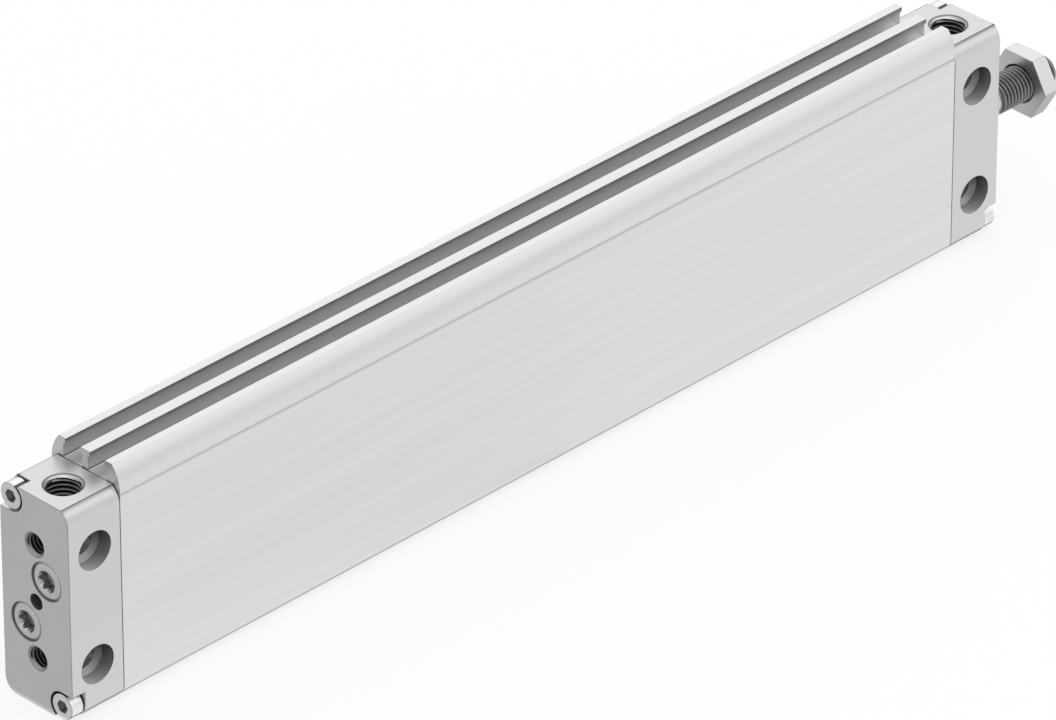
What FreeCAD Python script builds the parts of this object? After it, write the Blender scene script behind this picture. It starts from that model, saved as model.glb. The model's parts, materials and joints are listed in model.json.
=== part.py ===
# Flat double-acting pneumatic cylinder with an oval piston, its rod fully drawn in.
# Millimetres. X runs along the rod and out of its tip, the broad faces look along Y, Z is up.
# The origin is on the narrow side that it stands on, under the middle of the whole length.

import FreeCAD, Part
import math
import os

V = FreeCAD.Vector

# Driving dimensions of the body
STROKE = 250.0
THICKNESS = 24.0
CAP_HEIGHT = 60.6
CAP_LENGTH = 17.0
CORNER_R = 4.0
CAP_SHOULDER_Z = 56.67

# Oval bore, and how far each oval piece stays inside its outline
BORE_WIDTH = 18.0
BORE_HEIGHT = 48.5
PLUG_GAP = 0.05
PISTON_GAP = 0.35
SLIDE_GAP = 0.06
SEAT_GAP = 0.04

# Lengths that make up the barrel beside the stroke
PLUG_LENGTH = 5.0
BUFFER_LENGTH = 3.0
PISTON_LENGTH = 27.5
STOP_GAP = 0.25

# Shadow groove along the barrel's broad faces, just under the curved flanks
FLANK_Z = 58.6
SHADOW_DEPTH = 0.35
SHADOW_FOOT_Z = 57.5

# Rails and sensor slots along the top of the barrel
RAIL_TOP = 66.0
SIDE_RAIL_OUTER = 9.3
SIDE_LIP = 6.9
SLOT_WALL = 7.55
CENTRE_LIP = 1.7
CENTRE_STEM = 1.05
LIP_BOTTOM = 64.7
LIP_SLANT = 0.65
RAIL_EDGE_R = 0.3
LIP_EDGE_R = 0.2

# Cross holes, end threads and ports of the caps
MOUNT_OFFSET = 16.3
MOUNT_HOLE_R = 3.3
MOUNT_SEAT_R = 5.2
MOUNT_SEAT_DEPTH = 3.9
MOUNT_CONE_DEPTH = 1.1
END_THREAD_R = 3.0
END_THREAD_MOUTH_R = 3.33
PORT_THREAD_R = 4.86
PORT_MOUTH_R = 5.16
PORT_DEPTH = 8.0
PORT_Y = -1.5
CHANNEL_R = 1.5
CHANNEL_ANGLE = 40.0
CHANNEL_START = 2.0
CHANNEL_RISE = 1.4
CENTRE_HOLE_R = 2.12
CENTRE_HOLE_DEPTH = 6.0

# Cap screws, in opposite corners of each cap
CAP_SCREW_Y = 8.2
CAP_SCREW_OFFSET = 26.5
CAP_SCREW_R = 2.0
CAP_SCREW_LENGTH = 20.0
CAP_SCREW_HEAD_R = 3.5
CAP_SCREW_HEAD = 4.0
CAP_SCREW_SINK = 0.1
CAP_SCREW_SOCKET = 3.0
CAP_SCREW_SOCKET_DEPTH = 2.0
NOTCH_R = 4.1
NOTCH_BREAK_INNER = 2.85
NOTCH_BREAK_OUTER = 2.3
TAPPED_DEPTH = 12.0
THREAD_GAP = 0.05
CLEAR_GAP = 0.25

# Plate screws in the rear end face
PLATE_SCREW_Y = 3.8
PLATE_SCREW_OFFSET = 7.4
PLATE_SCREW_R = 2.5
PLATE_SCREW_LENGTH = 16.0
PLATE_SCREW_HEAD_R = 4.75
PLATE_SCREW_HEAD = 5.0
PLATE_SCREW_EDGE = 0.65
PLATE_SCREW_SEAT_R = 5.25
PLATE_SCREW_LOBE_REACH = 2.95
PLATE_SCREW_LOBE_VALLEY = 2.25
PLATE_SCREW_SOCKET_DEPTH = 2.6
HEAD_EDGE = 0.3

# Rod, its threaded end and the nut on it
ROD_R = 6.0
ROD_SHOULDER = 9.0
ROD_CHAMFER = 0.8
RELIEF_R = 4.2
RELIEF_LENGTH = 2.5
ROD_THREAD_R = 5.0
NUT_THREAD_R = 4.8
NUT_CLEARANCE = 0.3
ROD_THREAD_CHAMFER = 0.9
ROD_REACH = 31.0
NUT_START = 20.8
NUT_THICKNESS = 5.0
NUT_ACROSS_FLATS = 17.0
NUT_FACE_R = 9.1
NUT_CHAMFER_ANGLE = 30.0

# Rod guide and seals in the front cap
ROD_FIT_GAP = 0.03
BEARING_R = 7.0
BEARING_LENGTH = 12.0
ROD_SEAL_R = 9.5
ROD_SEAL_LENGTH = 5.0
ROD_SEAL_LIP_DEPTH = 2.2
WIPER_R = 8.5
WIPER_LENGTH = 4.0
WIPER_REACH = 0.8
COLLAR_R = 6.6

# Grooves of the piston, as starts from its rear face
SEAL_GROOVE_DEPTH = 2.0
SEAL_WIDTH = 4.0
REAR_SEAL_START = 2.5
FRONT_SEAL_START = 21.0
BAND_GROOVE_DEPTH = 1.8
BAND_START = 8.5
BAND_WIDTH = 10.5
PLUG_SEAL_WIDTH = 2.4
LIP_SLIT_DEPTH = 1.7
LIP_SLIT_INNER = 1.4
LIP_SLIT_OUTER = 0.7
PLUG_SEAL_BEVEL = 0.6

# Piston screw, magnet and the rod's seat in the piston
PISTON_SCREW_R = 3.0
PISTON_SCREW_LENGTH = 20.0
PISTON_SCREW_HEAD_R = 5.0
PISTON_SCREW_HEAD = 6.0
PISTON_SCREW_SOCKET = 5.0
PISTON_SCREW_SOCKET_DEPTH = 3.0
PISTON_POCKET_DEPTH = 7.0
ROD_SEAT_START = 15.0
ROD_TAPPED_DEPTH = 16.0
RING_R = 4.6
RING_SECTION_R = 0.6
MAGNET_LENGTH = 8.0
MAGNET_WIDTH = 6.0
MAGNET_HEIGHT = 3.8

# Buffers
BUFFER_INSET = 1.0
BUFFER_ROD_R = 6.8
BUFFER_AIR_R = 2.6

# Stations along X, from the rear end face to the rod's tip
BARREL_LENGTH = STROKE + PISTON_LENGTH + 2 * (PLUG_LENGTH + BUFFER_LENGTH + STOP_GAP)
OVERALL_LENGTH = BARREL_LENGTH + 2 * CAP_LENGTH + ROD_REACH
REAR_FACE = -OVERALL_LENGTH / 2
REAR_JOINT = REAR_FACE + CAP_LENGTH
REAR_PLUG_END = REAR_JOINT + PLUG_LENGTH
REAR_BUFFER_END = REAR_PLUG_END + BUFFER_LENGTH
PISTON_REAR = REAR_BUFFER_END + STOP_GAP
PISTON_FRONT = PISTON_REAR + PISTON_LENGTH
FRONT_JOINT = REAR_JOINT + BARREL_LENGTH
FRONT_PLUG_START = FRONT_JOINT - PLUG_LENGTH
FRONT_BUFFER_START = FRONT_PLUG_START - BUFFER_LENGTH
FRONT_FACE = FRONT_JOINT + CAP_LENGTH
ROD_TIP = FRONT_FACE + ROD_REACH

# Places across the body
HALF = THICKNESS / 2
AXIS_Z = CAP_HEIGHT / 2
INWARD_REAR = 1
INWARD_FRONT = -1
OPPOSITE_CORNERS = (1, -1)


def outline(x, start, *steps):
    """Face across the rod at x. A step is a corner (y, z), or an arc's middle and end (y, z, y, z)."""
    first = here = V(x, *start)
    edges = []
    for step in steps + (start,):
        end = V(x, *step[-2:])
        if len(step) == 4:
            edges.append(Part.Arc(here, V(x, *step[:2]), end).toShape())
        elif not end.isEqual(here, 1e-6):
            edges.append(Part.LineSegment(here, end).toShape())
        here = end
    assert here.isEqual(first, 1e-6)
    return Part.Face(Part.Wire(edges))


def extruded(face, length):
    return face.extrude(V(length, 0, 0))


def both_halves(half):
    """The half at +Y together with its mirror image, as one solid."""
    return half.fuse(half.mirror(V(0, 0, 0), V(0, 1, 0))).removeSplitter().Solids[0]


def turned(points, origin, direction, to_axis=True):
    """Solid of revolution from (along, radius) points, closed on the axis unless it is a ring."""
    if to_axis:
        points = [(points[0][0], 0.0)] + list(points) + [(points[-1][0], 0.0)]
    corners = [V(along, 0, radius) for along, radius in points]
    face = Part.Face(Part.makePolygon(corners + corners[:1]))
    solid = face.revolve(V(0, 0, 0), V(1, 0, 0), 360)
    solid.Placement = FreeCAD.Placement(origin, FreeCAD.Rotation(V(1, 0, 0), direction))
    return solid


def along_rod(points, y=0.0, z=AXIS_Z, ring=False):
    """Solid turned about a line parallel to the rod, from (x, radius) points."""
    return turned(points, V(0, y, z), V(1, 0, 0), to_axis=not ring)


def pin(radius, x0, x1, y=0.0, z=AXIS_Z):
    return along_rod([(x0, radius), (x1, radius)], y, z)


def oval(inset, x0, x1):
    """Prism of the bore's outline, drawn in by inset."""
    radius = BORE_WIDTH / 2 - inset
    top = AXIS_Z + (BORE_HEIGHT - BORE_WIDTH) / 2
    bottom = AXIS_Z - (BORE_HEIGHT - BORE_WIDTH) / 2
    face = outline(
        x0,
        (radius, bottom),
        (radius, top),
        (0, top + radius, -radius, top),
        (-radius, bottom),
        (0, bottom - radius, radius, bottom),
    )
    return extruded(face, x1 - x0)


def oval_ring(outer_inset, inner_inset, x0, x1):
    return oval(outer_inset, x0, x1).cut(oval(inner_inset, x0, x1))


def groove(depth, x0, x1):
    """Ring that cuts an oval groove down to the given inset."""
    return oval_ring(-CLEAR_GAP, depth, x0, x1)


def prism(radii, x0, x1, y=0.0, z=AXIS_Z):
    """Prism along the rod whose corners stand evenly round it, at the given radii in turn."""
    turn = 2 * math.pi / len(radii)
    corners = [V(x0, y + r * math.cos(k * turn), z + r * math.sin(k * turn)) for k, r in enumerate(radii)]
    return extruded(Part.Face(Part.makePolygon(corners + corners[:1])), x1 - x0)


def hexagon(across_flats, x0, x1, y=0.0, z=AXIS_Z):
    """Hexagonal prism along the rod with two flats level."""
    return prism([across_flats / 2 / math.cos(math.pi / 6)] * 6, x0, x1, y, z)


def edges_at_x(shape, x):
    return [e for e in shape.Edges if all(abs(v.X - x) < 1e-6 for v in e.Vertexes)]


def edges_along_x(shape, places):
    """Lengthwise edges that stand at the given (y, z) places."""
    found = []
    for edge in shape.Edges:
        ends = edge.Vertexes
        lengthwise = len(ends) == 2 and abs(ends[0].X - ends[1].X) > 1.0
        if lengthwise and any(math.hypot(ends[0].Y - y, ends[0].Z - z) < 1e-3 for y, z in places):
            found.append(edge)
    return found


def corner_places(side):
    """The (y, z) of the cap screw at one of the two opposite corners."""
    return side * CAP_SCREW_Y, AXIS_Z + side * CAP_SCREW_OFFSET


# Barrel

def leaning_arc(foot_z, top_z, inset):
    """Arc, as its middle and end, that leaves the broad face upright and leans in by inset at top_z."""
    rise = top_z - foot_z
    radius = (rise ** 2 + inset ** 2) / (2 * inset)
    half_angle = math.asin(rise / radius) / 2
    mid_y = HALF - radius * (1 - math.cos(half_angle))
    return mid_y, foot_z + radius * math.sin(half_angle), HALF - inset, top_z


def half_barrel_section():
    """Outline of the extrusion's +Y half: rounded foot, plain broad face, shadow groove, rails on top."""
    flat = HALF - CORNER_R
    foot_mid = CORNER_R * (1 - math.sqrt(0.5))
    return outline(
        REAR_JOINT,
        (0, 0),
        (flat, 0),
        (HALF - foot_mid, foot_mid, HALF, CORNER_R),
        (HALF, SHADOW_FOOT_Z),
        leaning_arc(SHADOW_FOOT_Z, FLANK_Z, SHADOW_DEPTH),
        (HALF, FLANK_Z),
        leaning_arc(FLANK_Z, RAIL_TOP, HALF - SIDE_RAIL_OUTER),
        (SIDE_LIP, RAIL_TOP),
        (SIDE_LIP, LIP_BOTTOM),
        (SLOT_WALL, LIP_BOTTOM - LIP_SLANT),
        (SLOT_WALL, CAP_HEIGHT),
        (CENTRE_STEM, CAP_HEIGHT),
        (CENTRE_STEM, LIP_BOTTOM - LIP_SLANT),
        (CENTRE_LIP, LIP_BOTTOM),
        (CENTRE_LIP, RAIL_TOP),
        (0, RAIL_TOP),
    )


def barrel_profile():
    body = both_halves(extruded(half_barrel_section(), BARREL_LENGTH))
    rail_edges = [(side * SIDE_RAIL_OUTER, RAIL_TOP) for side in (1, -1)]
    lip_edges = [(side * y, RAIL_TOP) for side in (1, -1) for y in (SIDE_LIP, CENTRE_LIP)]
    body = body.makeFillet(RAIL_EDGE_R, edges_along_x(body, rail_edges))
    body = body.makeFillet(LIP_EDGE_R, edges_along_x(body, lip_edges))
    cuts = [oval(0, REAR_JOINT, FRONT_JOINT)]
    for side in OPPOSITE_CORNERS:
        y, z = corner_places(side)
        tapped = CAP_SCREW_R + THREAD_GAP
        cuts.append(pin(tapped, REAR_JOINT, REAR_JOINT + TAPPED_DEPTH, y, z))
        cuts.append(pin(tapped, FRONT_JOINT - TAPPED_DEPTH, FRONT_JOINT, y, z))
    return body.cut(cuts)


# Caps

def cap_block(joint, face):
    """Plain cap with a rounded foot, and rounded shoulders that meet the flat port face in a crease."""
    flat = HALF - CORNER_R
    foot_mid = CORNER_R * (1 - math.sqrt(0.5))
    crest_angle = math.asin((CAP_HEIGHT - CAP_SHOULDER_Z) / CORNER_R)
    half = outline(
        joint,
        (0, 0),
        (flat, 0),
        (HALF - foot_mid, foot_mid, HALF, CORNER_R),
        (HALF, CAP_SHOULDER_Z),
        (
            flat + CORNER_R * math.cos(crest_angle / 2),
            CAP_SHOULDER_Z + CORNER_R * math.sin(crest_angle / 2),
            flat + CORNER_R * math.cos(crest_angle),
            CAP_HEIGHT,
        ),
        (0, CAP_HEIGHT),
    )
    return both_halves(extruded(half, face - joint))


def cross_hole(x, z):
    """Through hole across the cap with a coned screw seat in both broad faces."""
    seat_end = HALF - MOUNT_SEAT_DEPTH
    cone_end = seat_end - MOUNT_CONE_DEPTH
    points = [
        (-HALF, MOUNT_SEAT_R),
        (-seat_end, MOUNT_SEAT_R),
        (-cone_end, MOUNT_HOLE_R),
        (cone_end, MOUNT_HOLE_R),
        (seat_end, MOUNT_SEAT_R),
        (HALF, MOUNT_SEAT_R),
    ]
    return turned(points, V(x, 0, z), V(0, 1, 0))


def end_thread(face, inward, z):
    """Threaded hole from the end face into the cross hole behind it."""
    mouth = END_THREAD_MOUTH_R - END_THREAD_R
    points = [(0, END_THREAD_MOUTH_R), (mouth, END_THREAD_R), (CAP_LENGTH / 2, END_THREAD_R)]
    return turned(points, V(face, 0, z), V(inward, 0, 0))


def port(x):
    mouth = PORT_MOUTH_R - PORT_THREAD_R
    points = [(0, PORT_MOUTH_R), (mouth, PORT_THREAD_R), (PORT_DEPTH, PORT_THREAD_R)]
    return turned(points, V(x, PORT_Y, CAP_HEIGHT), V(0, 0, -1))


def air_channel(mid, inward):
    """Slanted drilling from the port's floor to the chamber, past the cross hole."""
    angle = math.radians(CHANNEL_ANGLE)
    start = V(mid + inward * CHANNEL_START, PORT_Y, CAP_HEIGHT - PORT_DEPTH + CHANNEL_RISE)
    reach = (CAP_LENGTH / 2 - CHANNEL_START + PLUG_LENGTH + 1) / math.cos(angle)
    direction = V(inward * math.cos(angle), 0, -math.sin(angle))
    return Part.makeCylinder(CHANNEL_R, reach, start, direction)


def corner_notch(face, inward, side):
    """Milled seat of a cap screw's head: a corner with a round inner end, its thin upper edge broken."""
    y, z = corner_places(side)
    beyond = NOTCH_R + CORNER_R
    to_narrow_side = AXIS_Z - CAP_SCREW_OFFSET
    broken_at = math.sqrt(NOTCH_R ** 2 - NOTCH_BREAK_OUTER ** 2)
    section = outline(
        face,
        (y - side * NOTCH_BREAK_INNER, z + side * beyond),
        (y - side * NOTCH_BREAK_INNER, z + side * to_narrow_side),
        (y - side * NOTCH_BREAK_OUTER, z + side * broken_at),
        (y - side * NOTCH_R, z, y, z - side * NOTCH_R),
        (y + side * beyond, z - side * NOTCH_R),
        (y + side * beyond, z + side * beyond),
    )
    return extruded(section, inward * (CAP_SCREW_HEAD + CAP_SCREW_SINK))


def shared_cuts(face, inward):
    """What both caps have: cross holes, end threads, port, air channel and cap screw seats."""
    mid = face + inward * CAP_LENGTH / 2
    joint = face + inward * CAP_LENGTH
    cuts = [port(mid), air_channel(mid, inward)]
    for z in (AXIS_Z - MOUNT_OFFSET, AXIS_Z + MOUNT_OFFSET):
        cuts.append(cross_hole(mid, z))
        cuts.append(end_thread(face, inward, z))
    for side in OPPOSITE_CORNERS:
        cuts.append(corner_notch(face, inward, side))
        cuts.append(pin(CAP_SCREW_R + CLEAR_GAP, min(face, joint), max(face, joint), *corner_places(side)))
    return cuts


def plate_screw_places():
    return [(-side * PLATE_SCREW_Y, AXIS_Z + side * PLATE_SCREW_OFFSET) for side in OPPOSITE_CORNERS]


def rear_cap():
    cuts = shared_cuts(REAR_FACE, INWARD_REAR)
    seat_end = REAR_FACE + PLATE_SCREW_HEAD
    for y, z in plate_screw_places():
        cuts.append(pin(PLATE_SCREW_SEAT_R, REAR_FACE, seat_end, y, z))
        cuts.append(pin(PLATE_SCREW_R + CLEAR_GAP, seat_end, REAR_JOINT, y, z))
    cuts.append(pin(CENTRE_HOLE_R, REAR_FACE, REAR_FACE + CENTRE_HOLE_DEPTH))
    return cap_block(REAR_JOINT, REAR_FACE).cut(cuts)


def front_cap():
    spigot = oval(PLUG_GAP, FRONT_PLUG_START, FRONT_JOINT)
    cuts = shared_cuts(FRONT_FACE, INWARD_FRONT)
    cuts.append(groove(SEAL_GROOVE_DEPTH, *plug_seal_span(FRONT_PLUG_START)))
    seal_start = FRONT_PLUG_START + BEARING_LENGTH
    seal_end = seal_start + ROD_SEAL_LENGTH
    cuts.append(pin(BEARING_R, FRONT_PLUG_START, seal_start))
    cuts.append(pin(ROD_SEAL_R, seal_start, seal_end))
    cuts.append(pin(COLLAR_R, seal_end, FRONT_FACE))
    cuts.append(pin(WIPER_R, FRONT_FACE - WIPER_LENGTH, FRONT_FACE))
    return cap_block(FRONT_JOINT, FRONT_FACE).fuse(spigot).cut(cuts)


# Closing plate, static seals and buffers in the bore

def plug_seal_span(plug_start):
    """Start and end of the seal groove in the middle of a plug."""
    start = plug_start + (PLUG_LENGTH - PLUG_SEAL_WIDTH) / 2
    return start, start + PLUG_SEAL_WIDTH


def plug_seal(plug_start):
    """Oval ring with a bevelled crest that meets the bore."""
    x0, x1 = plug_seal_span(plug_start)
    crest = oval(SEAT_GAP, x0, x1)
    rims = edges_at_x(crest, x0) + edges_at_x(crest, x1)
    return crest.makeChamfer(PLUG_SEAL_BEVEL, rims).cut(oval(SEAL_GROOVE_DEPTH - SEAT_GAP, x0, x1))


def rear_bore_plate():
    plate = oval(PLUG_GAP, REAR_JOINT, REAR_PLUG_END)
    cuts = [groove(SEAL_GROOVE_DEPTH, *plug_seal_span(REAR_JOINT))]
    cuts.append(air_channel(REAR_FACE + CAP_LENGTH / 2, INWARD_REAR))
    for y, z in plate_screw_places():
        cuts.append(pin(PLATE_SCREW_R + THREAD_GAP, REAR_JOINT, REAR_PLUG_END, y, z))
    return plate.cut(cuts)


def buffer_air_z():
    """Height at which the slanted channel comes out of a plug."""
    run = CAP_LENGTH / 2 - CHANNEL_START + PLUG_LENGTH
    return CAP_HEIGHT - PORT_DEPTH + CHANNEL_RISE - run * math.tan(math.radians(CHANNEL_ANGLE))


def buffer_pad(x0, x1):
    pad = oval(BUFFER_INSET, x0, x1)
    rod_hole = pin(BUFFER_ROD_R, x0, x1)
    air_hole = pin(BUFFER_AIR_R, x0, x1, PORT_Y, buffer_air_z())
    return pad.cut([rod_hole, air_hole])


# Screws

def headed_pin(face, inward, y, z, radius, length, head_radius, head, edge=HEAD_EDGE):
    """Blank of a screw: a cylinder head with a bevelled rim, and its stem."""
    neck = face + inward * head
    tip = neck + inward * length
    points = [
        (face, head_radius - edge),
        (face + inward * edge, head_radius),
        (neck, head_radius),
        (neck, radius),
        (tip, radius),
    ]
    return along_rod(points, y, z)


def cap_screw(face, inward, y, z):
    """Cylinder head screw with a hexagon socket."""
    start = face + inward * CAP_SCREW_SINK
    size = (CAP_SCREW_R, CAP_SCREW_LENGTH, CAP_SCREW_HEAD_R, CAP_SCREW_HEAD)
    blank = headed_pin(start, inward, y, z, *size)
    return blank.cut(hexagon(CAP_SCREW_SOCKET, start, start + inward * CAP_SCREW_SOCKET_DEPTH, y, z))


def cap_screws(face, inward):
    return Part.makeCompound([cap_screw(face, inward, *corner_places(side)) for side in OPPOSITE_CORNERS])


def plate_screw(y, z):
    """Cylinder head screw with a six-lobe socket."""
    size = (PLATE_SCREW_R, PLATE_SCREW_LENGTH, PLATE_SCREW_HEAD_R, PLATE_SCREW_HEAD, PLATE_SCREW_EDGE)
    blank = headed_pin(REAR_FACE, INWARD_REAR, y, z, *size)
    lobes = [PLATE_SCREW_LOBE_REACH, PLATE_SCREW_LOBE_VALLEY] * 6
    return blank.cut(prism(lobes, REAR_FACE, REAR_FACE + PLATE_SCREW_SOCKET_DEPTH, y, z))


# Rod guide and rod seals

def rod_bearing():
    bore = ROD_R + ROD_FIT_GAP
    end = FRONT_PLUG_START + BEARING_LENGTH
    points = [(FRONT_PLUG_START, bore), (end, bore), (end, BEARING_R), (FRONT_PLUG_START, BEARING_R)]
    return along_rod(points, ring=True)


def rod_seal():
    """Lip seal that opens towards the chamber."""
    start = FRONT_PLUG_START + BEARING_LENGTH
    end = start + ROD_SEAL_LENGTH
    bore = ROD_R + SLIDE_GAP
    wall = (ROD_SEAL_R - bore) / 4
    points = [
        (start, ROD_SEAL_R),
        (start, ROD_SEAL_R - wall),
        (start + ROD_SEAL_LIP_DEPTH, ROD_SEAL_R - 1.5 * wall),
        (start + ROD_SEAL_LIP_DEPTH, bore + 1.5 * wall),
        (start, bore + wall),
        (start, bore),
        (start + ROD_SEAL_LIP_DEPTH, bore),
        (end, bore + wall / 2),
        (end, ROD_SEAL_R),
    ]
    return along_rod(points, ring=True)


def rod_wiper():
    """Wiper ring with its lip just outside the cap's end face."""
    start = FRONT_FACE - WIPER_LENGTH
    bore = ROD_R + SLIDE_GAP
    tip = FRONT_FACE + WIPER_REACH
    points = [
        (start, WIPER_R),
        (start, COLLAR_R),
        (FRONT_FACE - WIPER_LENGTH / 2, COLLAR_R),
        (tip - HEAD_EDGE, bore),
        (tip, bore + HEAD_EDGE),
        (FRONT_FACE, WIPER_R),
    ]
    return along_rod(points, ring=True)


# Rod and nut

def piston_rod():
    """Rod with a relief behind its thread, which is slimmer where the nut runs than at its free end."""
    seat = PISTON_REAR + ROD_SEAT_START
    shoulder = FRONT_FACE + ROD_SHOULDER
    relief_end = shoulder + RELIEF_LENGTH
    lead = NUT_THREAD_R - RELIEF_R
    nut_end = FRONT_FACE + NUT_START + NUT_THICKNESS + NUT_CLEARANCE
    points = [
        (seat, ROD_R),
        (shoulder - ROD_CHAMFER, ROD_R),
        (shoulder, ROD_R - ROD_CHAMFER),
        (shoulder, RELIEF_R),
        (relief_end - lead, RELIEF_R),
        (relief_end, NUT_THREAD_R),
        (nut_end, NUT_THREAD_R),
        (nut_end, ROD_THREAD_R),
        (ROD_TIP - ROD_THREAD_CHAMFER, ROD_THREAD_R),
        (ROD_TIP, ROD_THREAD_R - ROD_THREAD_CHAMFER),
    ]
    return along_rod(points).cut(pin(PISTON_SCREW_R + THREAD_GAP, seat, seat + ROD_TAPPED_DEPTH))


def jam_nut():
    """Thin hexagon nut, its corners taken off by a cone at the outer face."""
    start = FRONT_FACE + NUT_START
    end = start + NUT_THICKNESS
    flat_r = NUT_ACROSS_FLATS / 2
    corner_r = flat_r / math.cos(math.pi / 6)
    bevel = (corner_r - NUT_FACE_R) * math.tan(math.radians(NUT_CHAMFER_ANGLE))
    rim = [(start, corner_r), (end - bevel, corner_r), (end, NUT_FACE_R)]
    bore = NUT_THREAD_R + THREAD_GAP
    mouth = bore + HEAD_EDGE
    hole = along_rod([(start, mouth), (start + HEAD_EDGE, bore), (end - HEAD_EDGE, bore), (end, mouth)])
    return hexagon(NUT_ACROSS_FLATS, start, end).common(along_rod(rim)).cut(hole)


# Piston and what it carries

def span_on_piston(start, width):
    return PISTON_REAR + start, PISTON_REAR + start + width


def magnet_box():
    start = PISTON_REAR + BAND_START + (BAND_WIDTH - MAGNET_LENGTH) / 2
    floor_r = BORE_WIDTH / 2 - BAND_GROOVE_DEPTH
    arc_z = AXIS_Z + (BORE_HEIGHT - BORE_WIDTH) / 2
    top = arc_z + math.sqrt(floor_r ** 2 - (MAGNET_WIDTH / 2) ** 2)
    return Part.makeBox(
        MAGNET_LENGTH, MAGNET_WIDTH, MAGNET_HEIGHT, V(start, -MAGNET_WIDTH / 2, top - MAGNET_HEIGHT)
    )


def rod_end_ring():
    """Static seal ring of square section in the piston, under the rod's end."""
    x1 = PISTON_REAR + ROD_SEAT_START
    x0 = x1 - 2 * RING_SECTION_R
    inner = RING_R - RING_SECTION_R
    outer = RING_R + RING_SECTION_R
    return along_rod([(x0, inner), (x1, inner), (x1, outer), (x0, outer)], ring=True)


def piston():
    """Oval piston with grooves for two seals and a slide band, and a seat for the rod."""
    seat = PISTON_REAR + ROD_SEAT_START
    pocket_end = PISTON_REAR + PISTON_POCKET_DEPTH
    ring_inner = pin(RING_R - RING_SECTION_R - THREAD_GAP, seat - 2 * RING_SECTION_R, seat)
    ring_outer = pin(RING_R + RING_SECTION_R + THREAD_GAP, seat - 2 * RING_SECTION_R, seat)
    slot_top = magnet_box()
    slot_top.translate(V(0, 0, MAGNET_HEIGHT))
    cuts = [
        groove(SEAL_GROOVE_DEPTH, *span_on_piston(REAR_SEAL_START, SEAL_WIDTH)),
        groove(SEAL_GROOVE_DEPTH, *span_on_piston(FRONT_SEAL_START, SEAL_WIDTH)),
        groove(BAND_GROOVE_DEPTH, *span_on_piston(BAND_START, BAND_WIDTH)),
        pin(PISTON_SCREW_HEAD_R + CLEAR_GAP, PISTON_REAR, pocket_end),
        pin(PISTON_SCREW_R + CLEAR_GAP, pocket_end, seat),
        pin(ROD_R + SEAT_GAP, seat, PISTON_FRONT),
        ring_outer.cut(ring_inner),
        magnet_box(),
        slot_top,
    ]
    return oval(PISTON_GAP, PISTON_REAR, PISTON_FRONT).cut(cuts)


def piston_seal(start, lip_faces_front):
    """Oval lip seal, slit on the side that its pressure comes from."""
    x0, x1 = span_on_piston(start, SEAL_WIDTH)
    slit_start = x1 - LIP_SLIT_DEPTH if lip_faces_front else x0
    slit = oval_ring(LIP_SLIT_OUTER, LIP_SLIT_INNER, slit_start, slit_start + LIP_SLIT_DEPTH)
    return oval_ring(SLIDE_GAP, SEAL_GROOVE_DEPTH - SEAT_GAP, x0, x1).cut(slit)


def piston_guide_band():
    return oval_ring(SLIDE_GAP, BAND_GROOVE_DEPTH - SEAT_GAP, *span_on_piston(BAND_START, BAND_WIDTH))


def piston_screw():
    """Cylinder head screw that pulls the rod into the piston, its head sunk in the piston's rear face."""
    face = PISTON_REAR + PISTON_POCKET_DEPTH - PISTON_SCREW_HEAD
    size = (PISTON_SCREW_R, PISTON_SCREW_LENGTH, PISTON_SCREW_HEAD_R, PISTON_SCREW_HEAD)
    blank = headed_pin(face, INWARD_REAR, 0.0, AXIS_Z, *size)
    return blank.cut(hexagon(PISTON_SCREW_SOCKET, face, face + PISTON_SCREW_SOCKET_DEPTH))


def pieces():
    """Every piece by the name that a fitter would use."""
    return {
        "barrel_profile": barrel_profile(),
        "rear_cap": rear_cap(),
        "front_cap": front_cap(),
        "rear_cap_screws": cap_screws(REAR_FACE, INWARD_REAR),
        "front_cap_screws": cap_screws(FRONT_FACE, INWARD_FRONT),
        "rear_plate_screws": Part.makeCompound([plate_screw(y, z) for y, z in plate_screw_places()]),
        "rear_bore_plate": rear_bore_plate(),
        "rear_bore_seal": plug_seal(REAR_JOINT),
        "front_bore_seal": plug_seal(FRONT_PLUG_START),
        "rear_buffer": buffer_pad(REAR_PLUG_END, REAR_BUFFER_END),
        "front_buffer": buffer_pad(FRONT_BUFFER_START, FRONT_PLUG_START),
        "rod_bearing": rod_bearing(),
        "rod_seal": rod_seal(),
        "rod_wiper": rod_wiper(),
        "piston_rod": piston_rod(),
        "jam_nut": jam_nut(),
        "piston": piston(),
        "piston_seal_rear": piston_seal(REAR_SEAL_START, lip_faces_front=False),
        "piston_seal_front": piston_seal(FRONT_SEAL_START, lip_faces_front=True),
        "piston_guide_band": piston_guide_band(),
        "piston_magnet": magnet_box(),
        "piston_screw": piston_screw(),
        "rod_end_ring": rod_end_ring(),
    }


os.makedirs("parts", exist_ok=True)
for name, shape in pieces().items():
    shape.exportStep(f"parts/{name}.step")
    print(f"{name}: {len(shape.Solids)} solid(s), {shape.Volume / 1000:.3f} cm3, valid {shape.isValid()}")
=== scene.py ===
import json
import math

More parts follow.
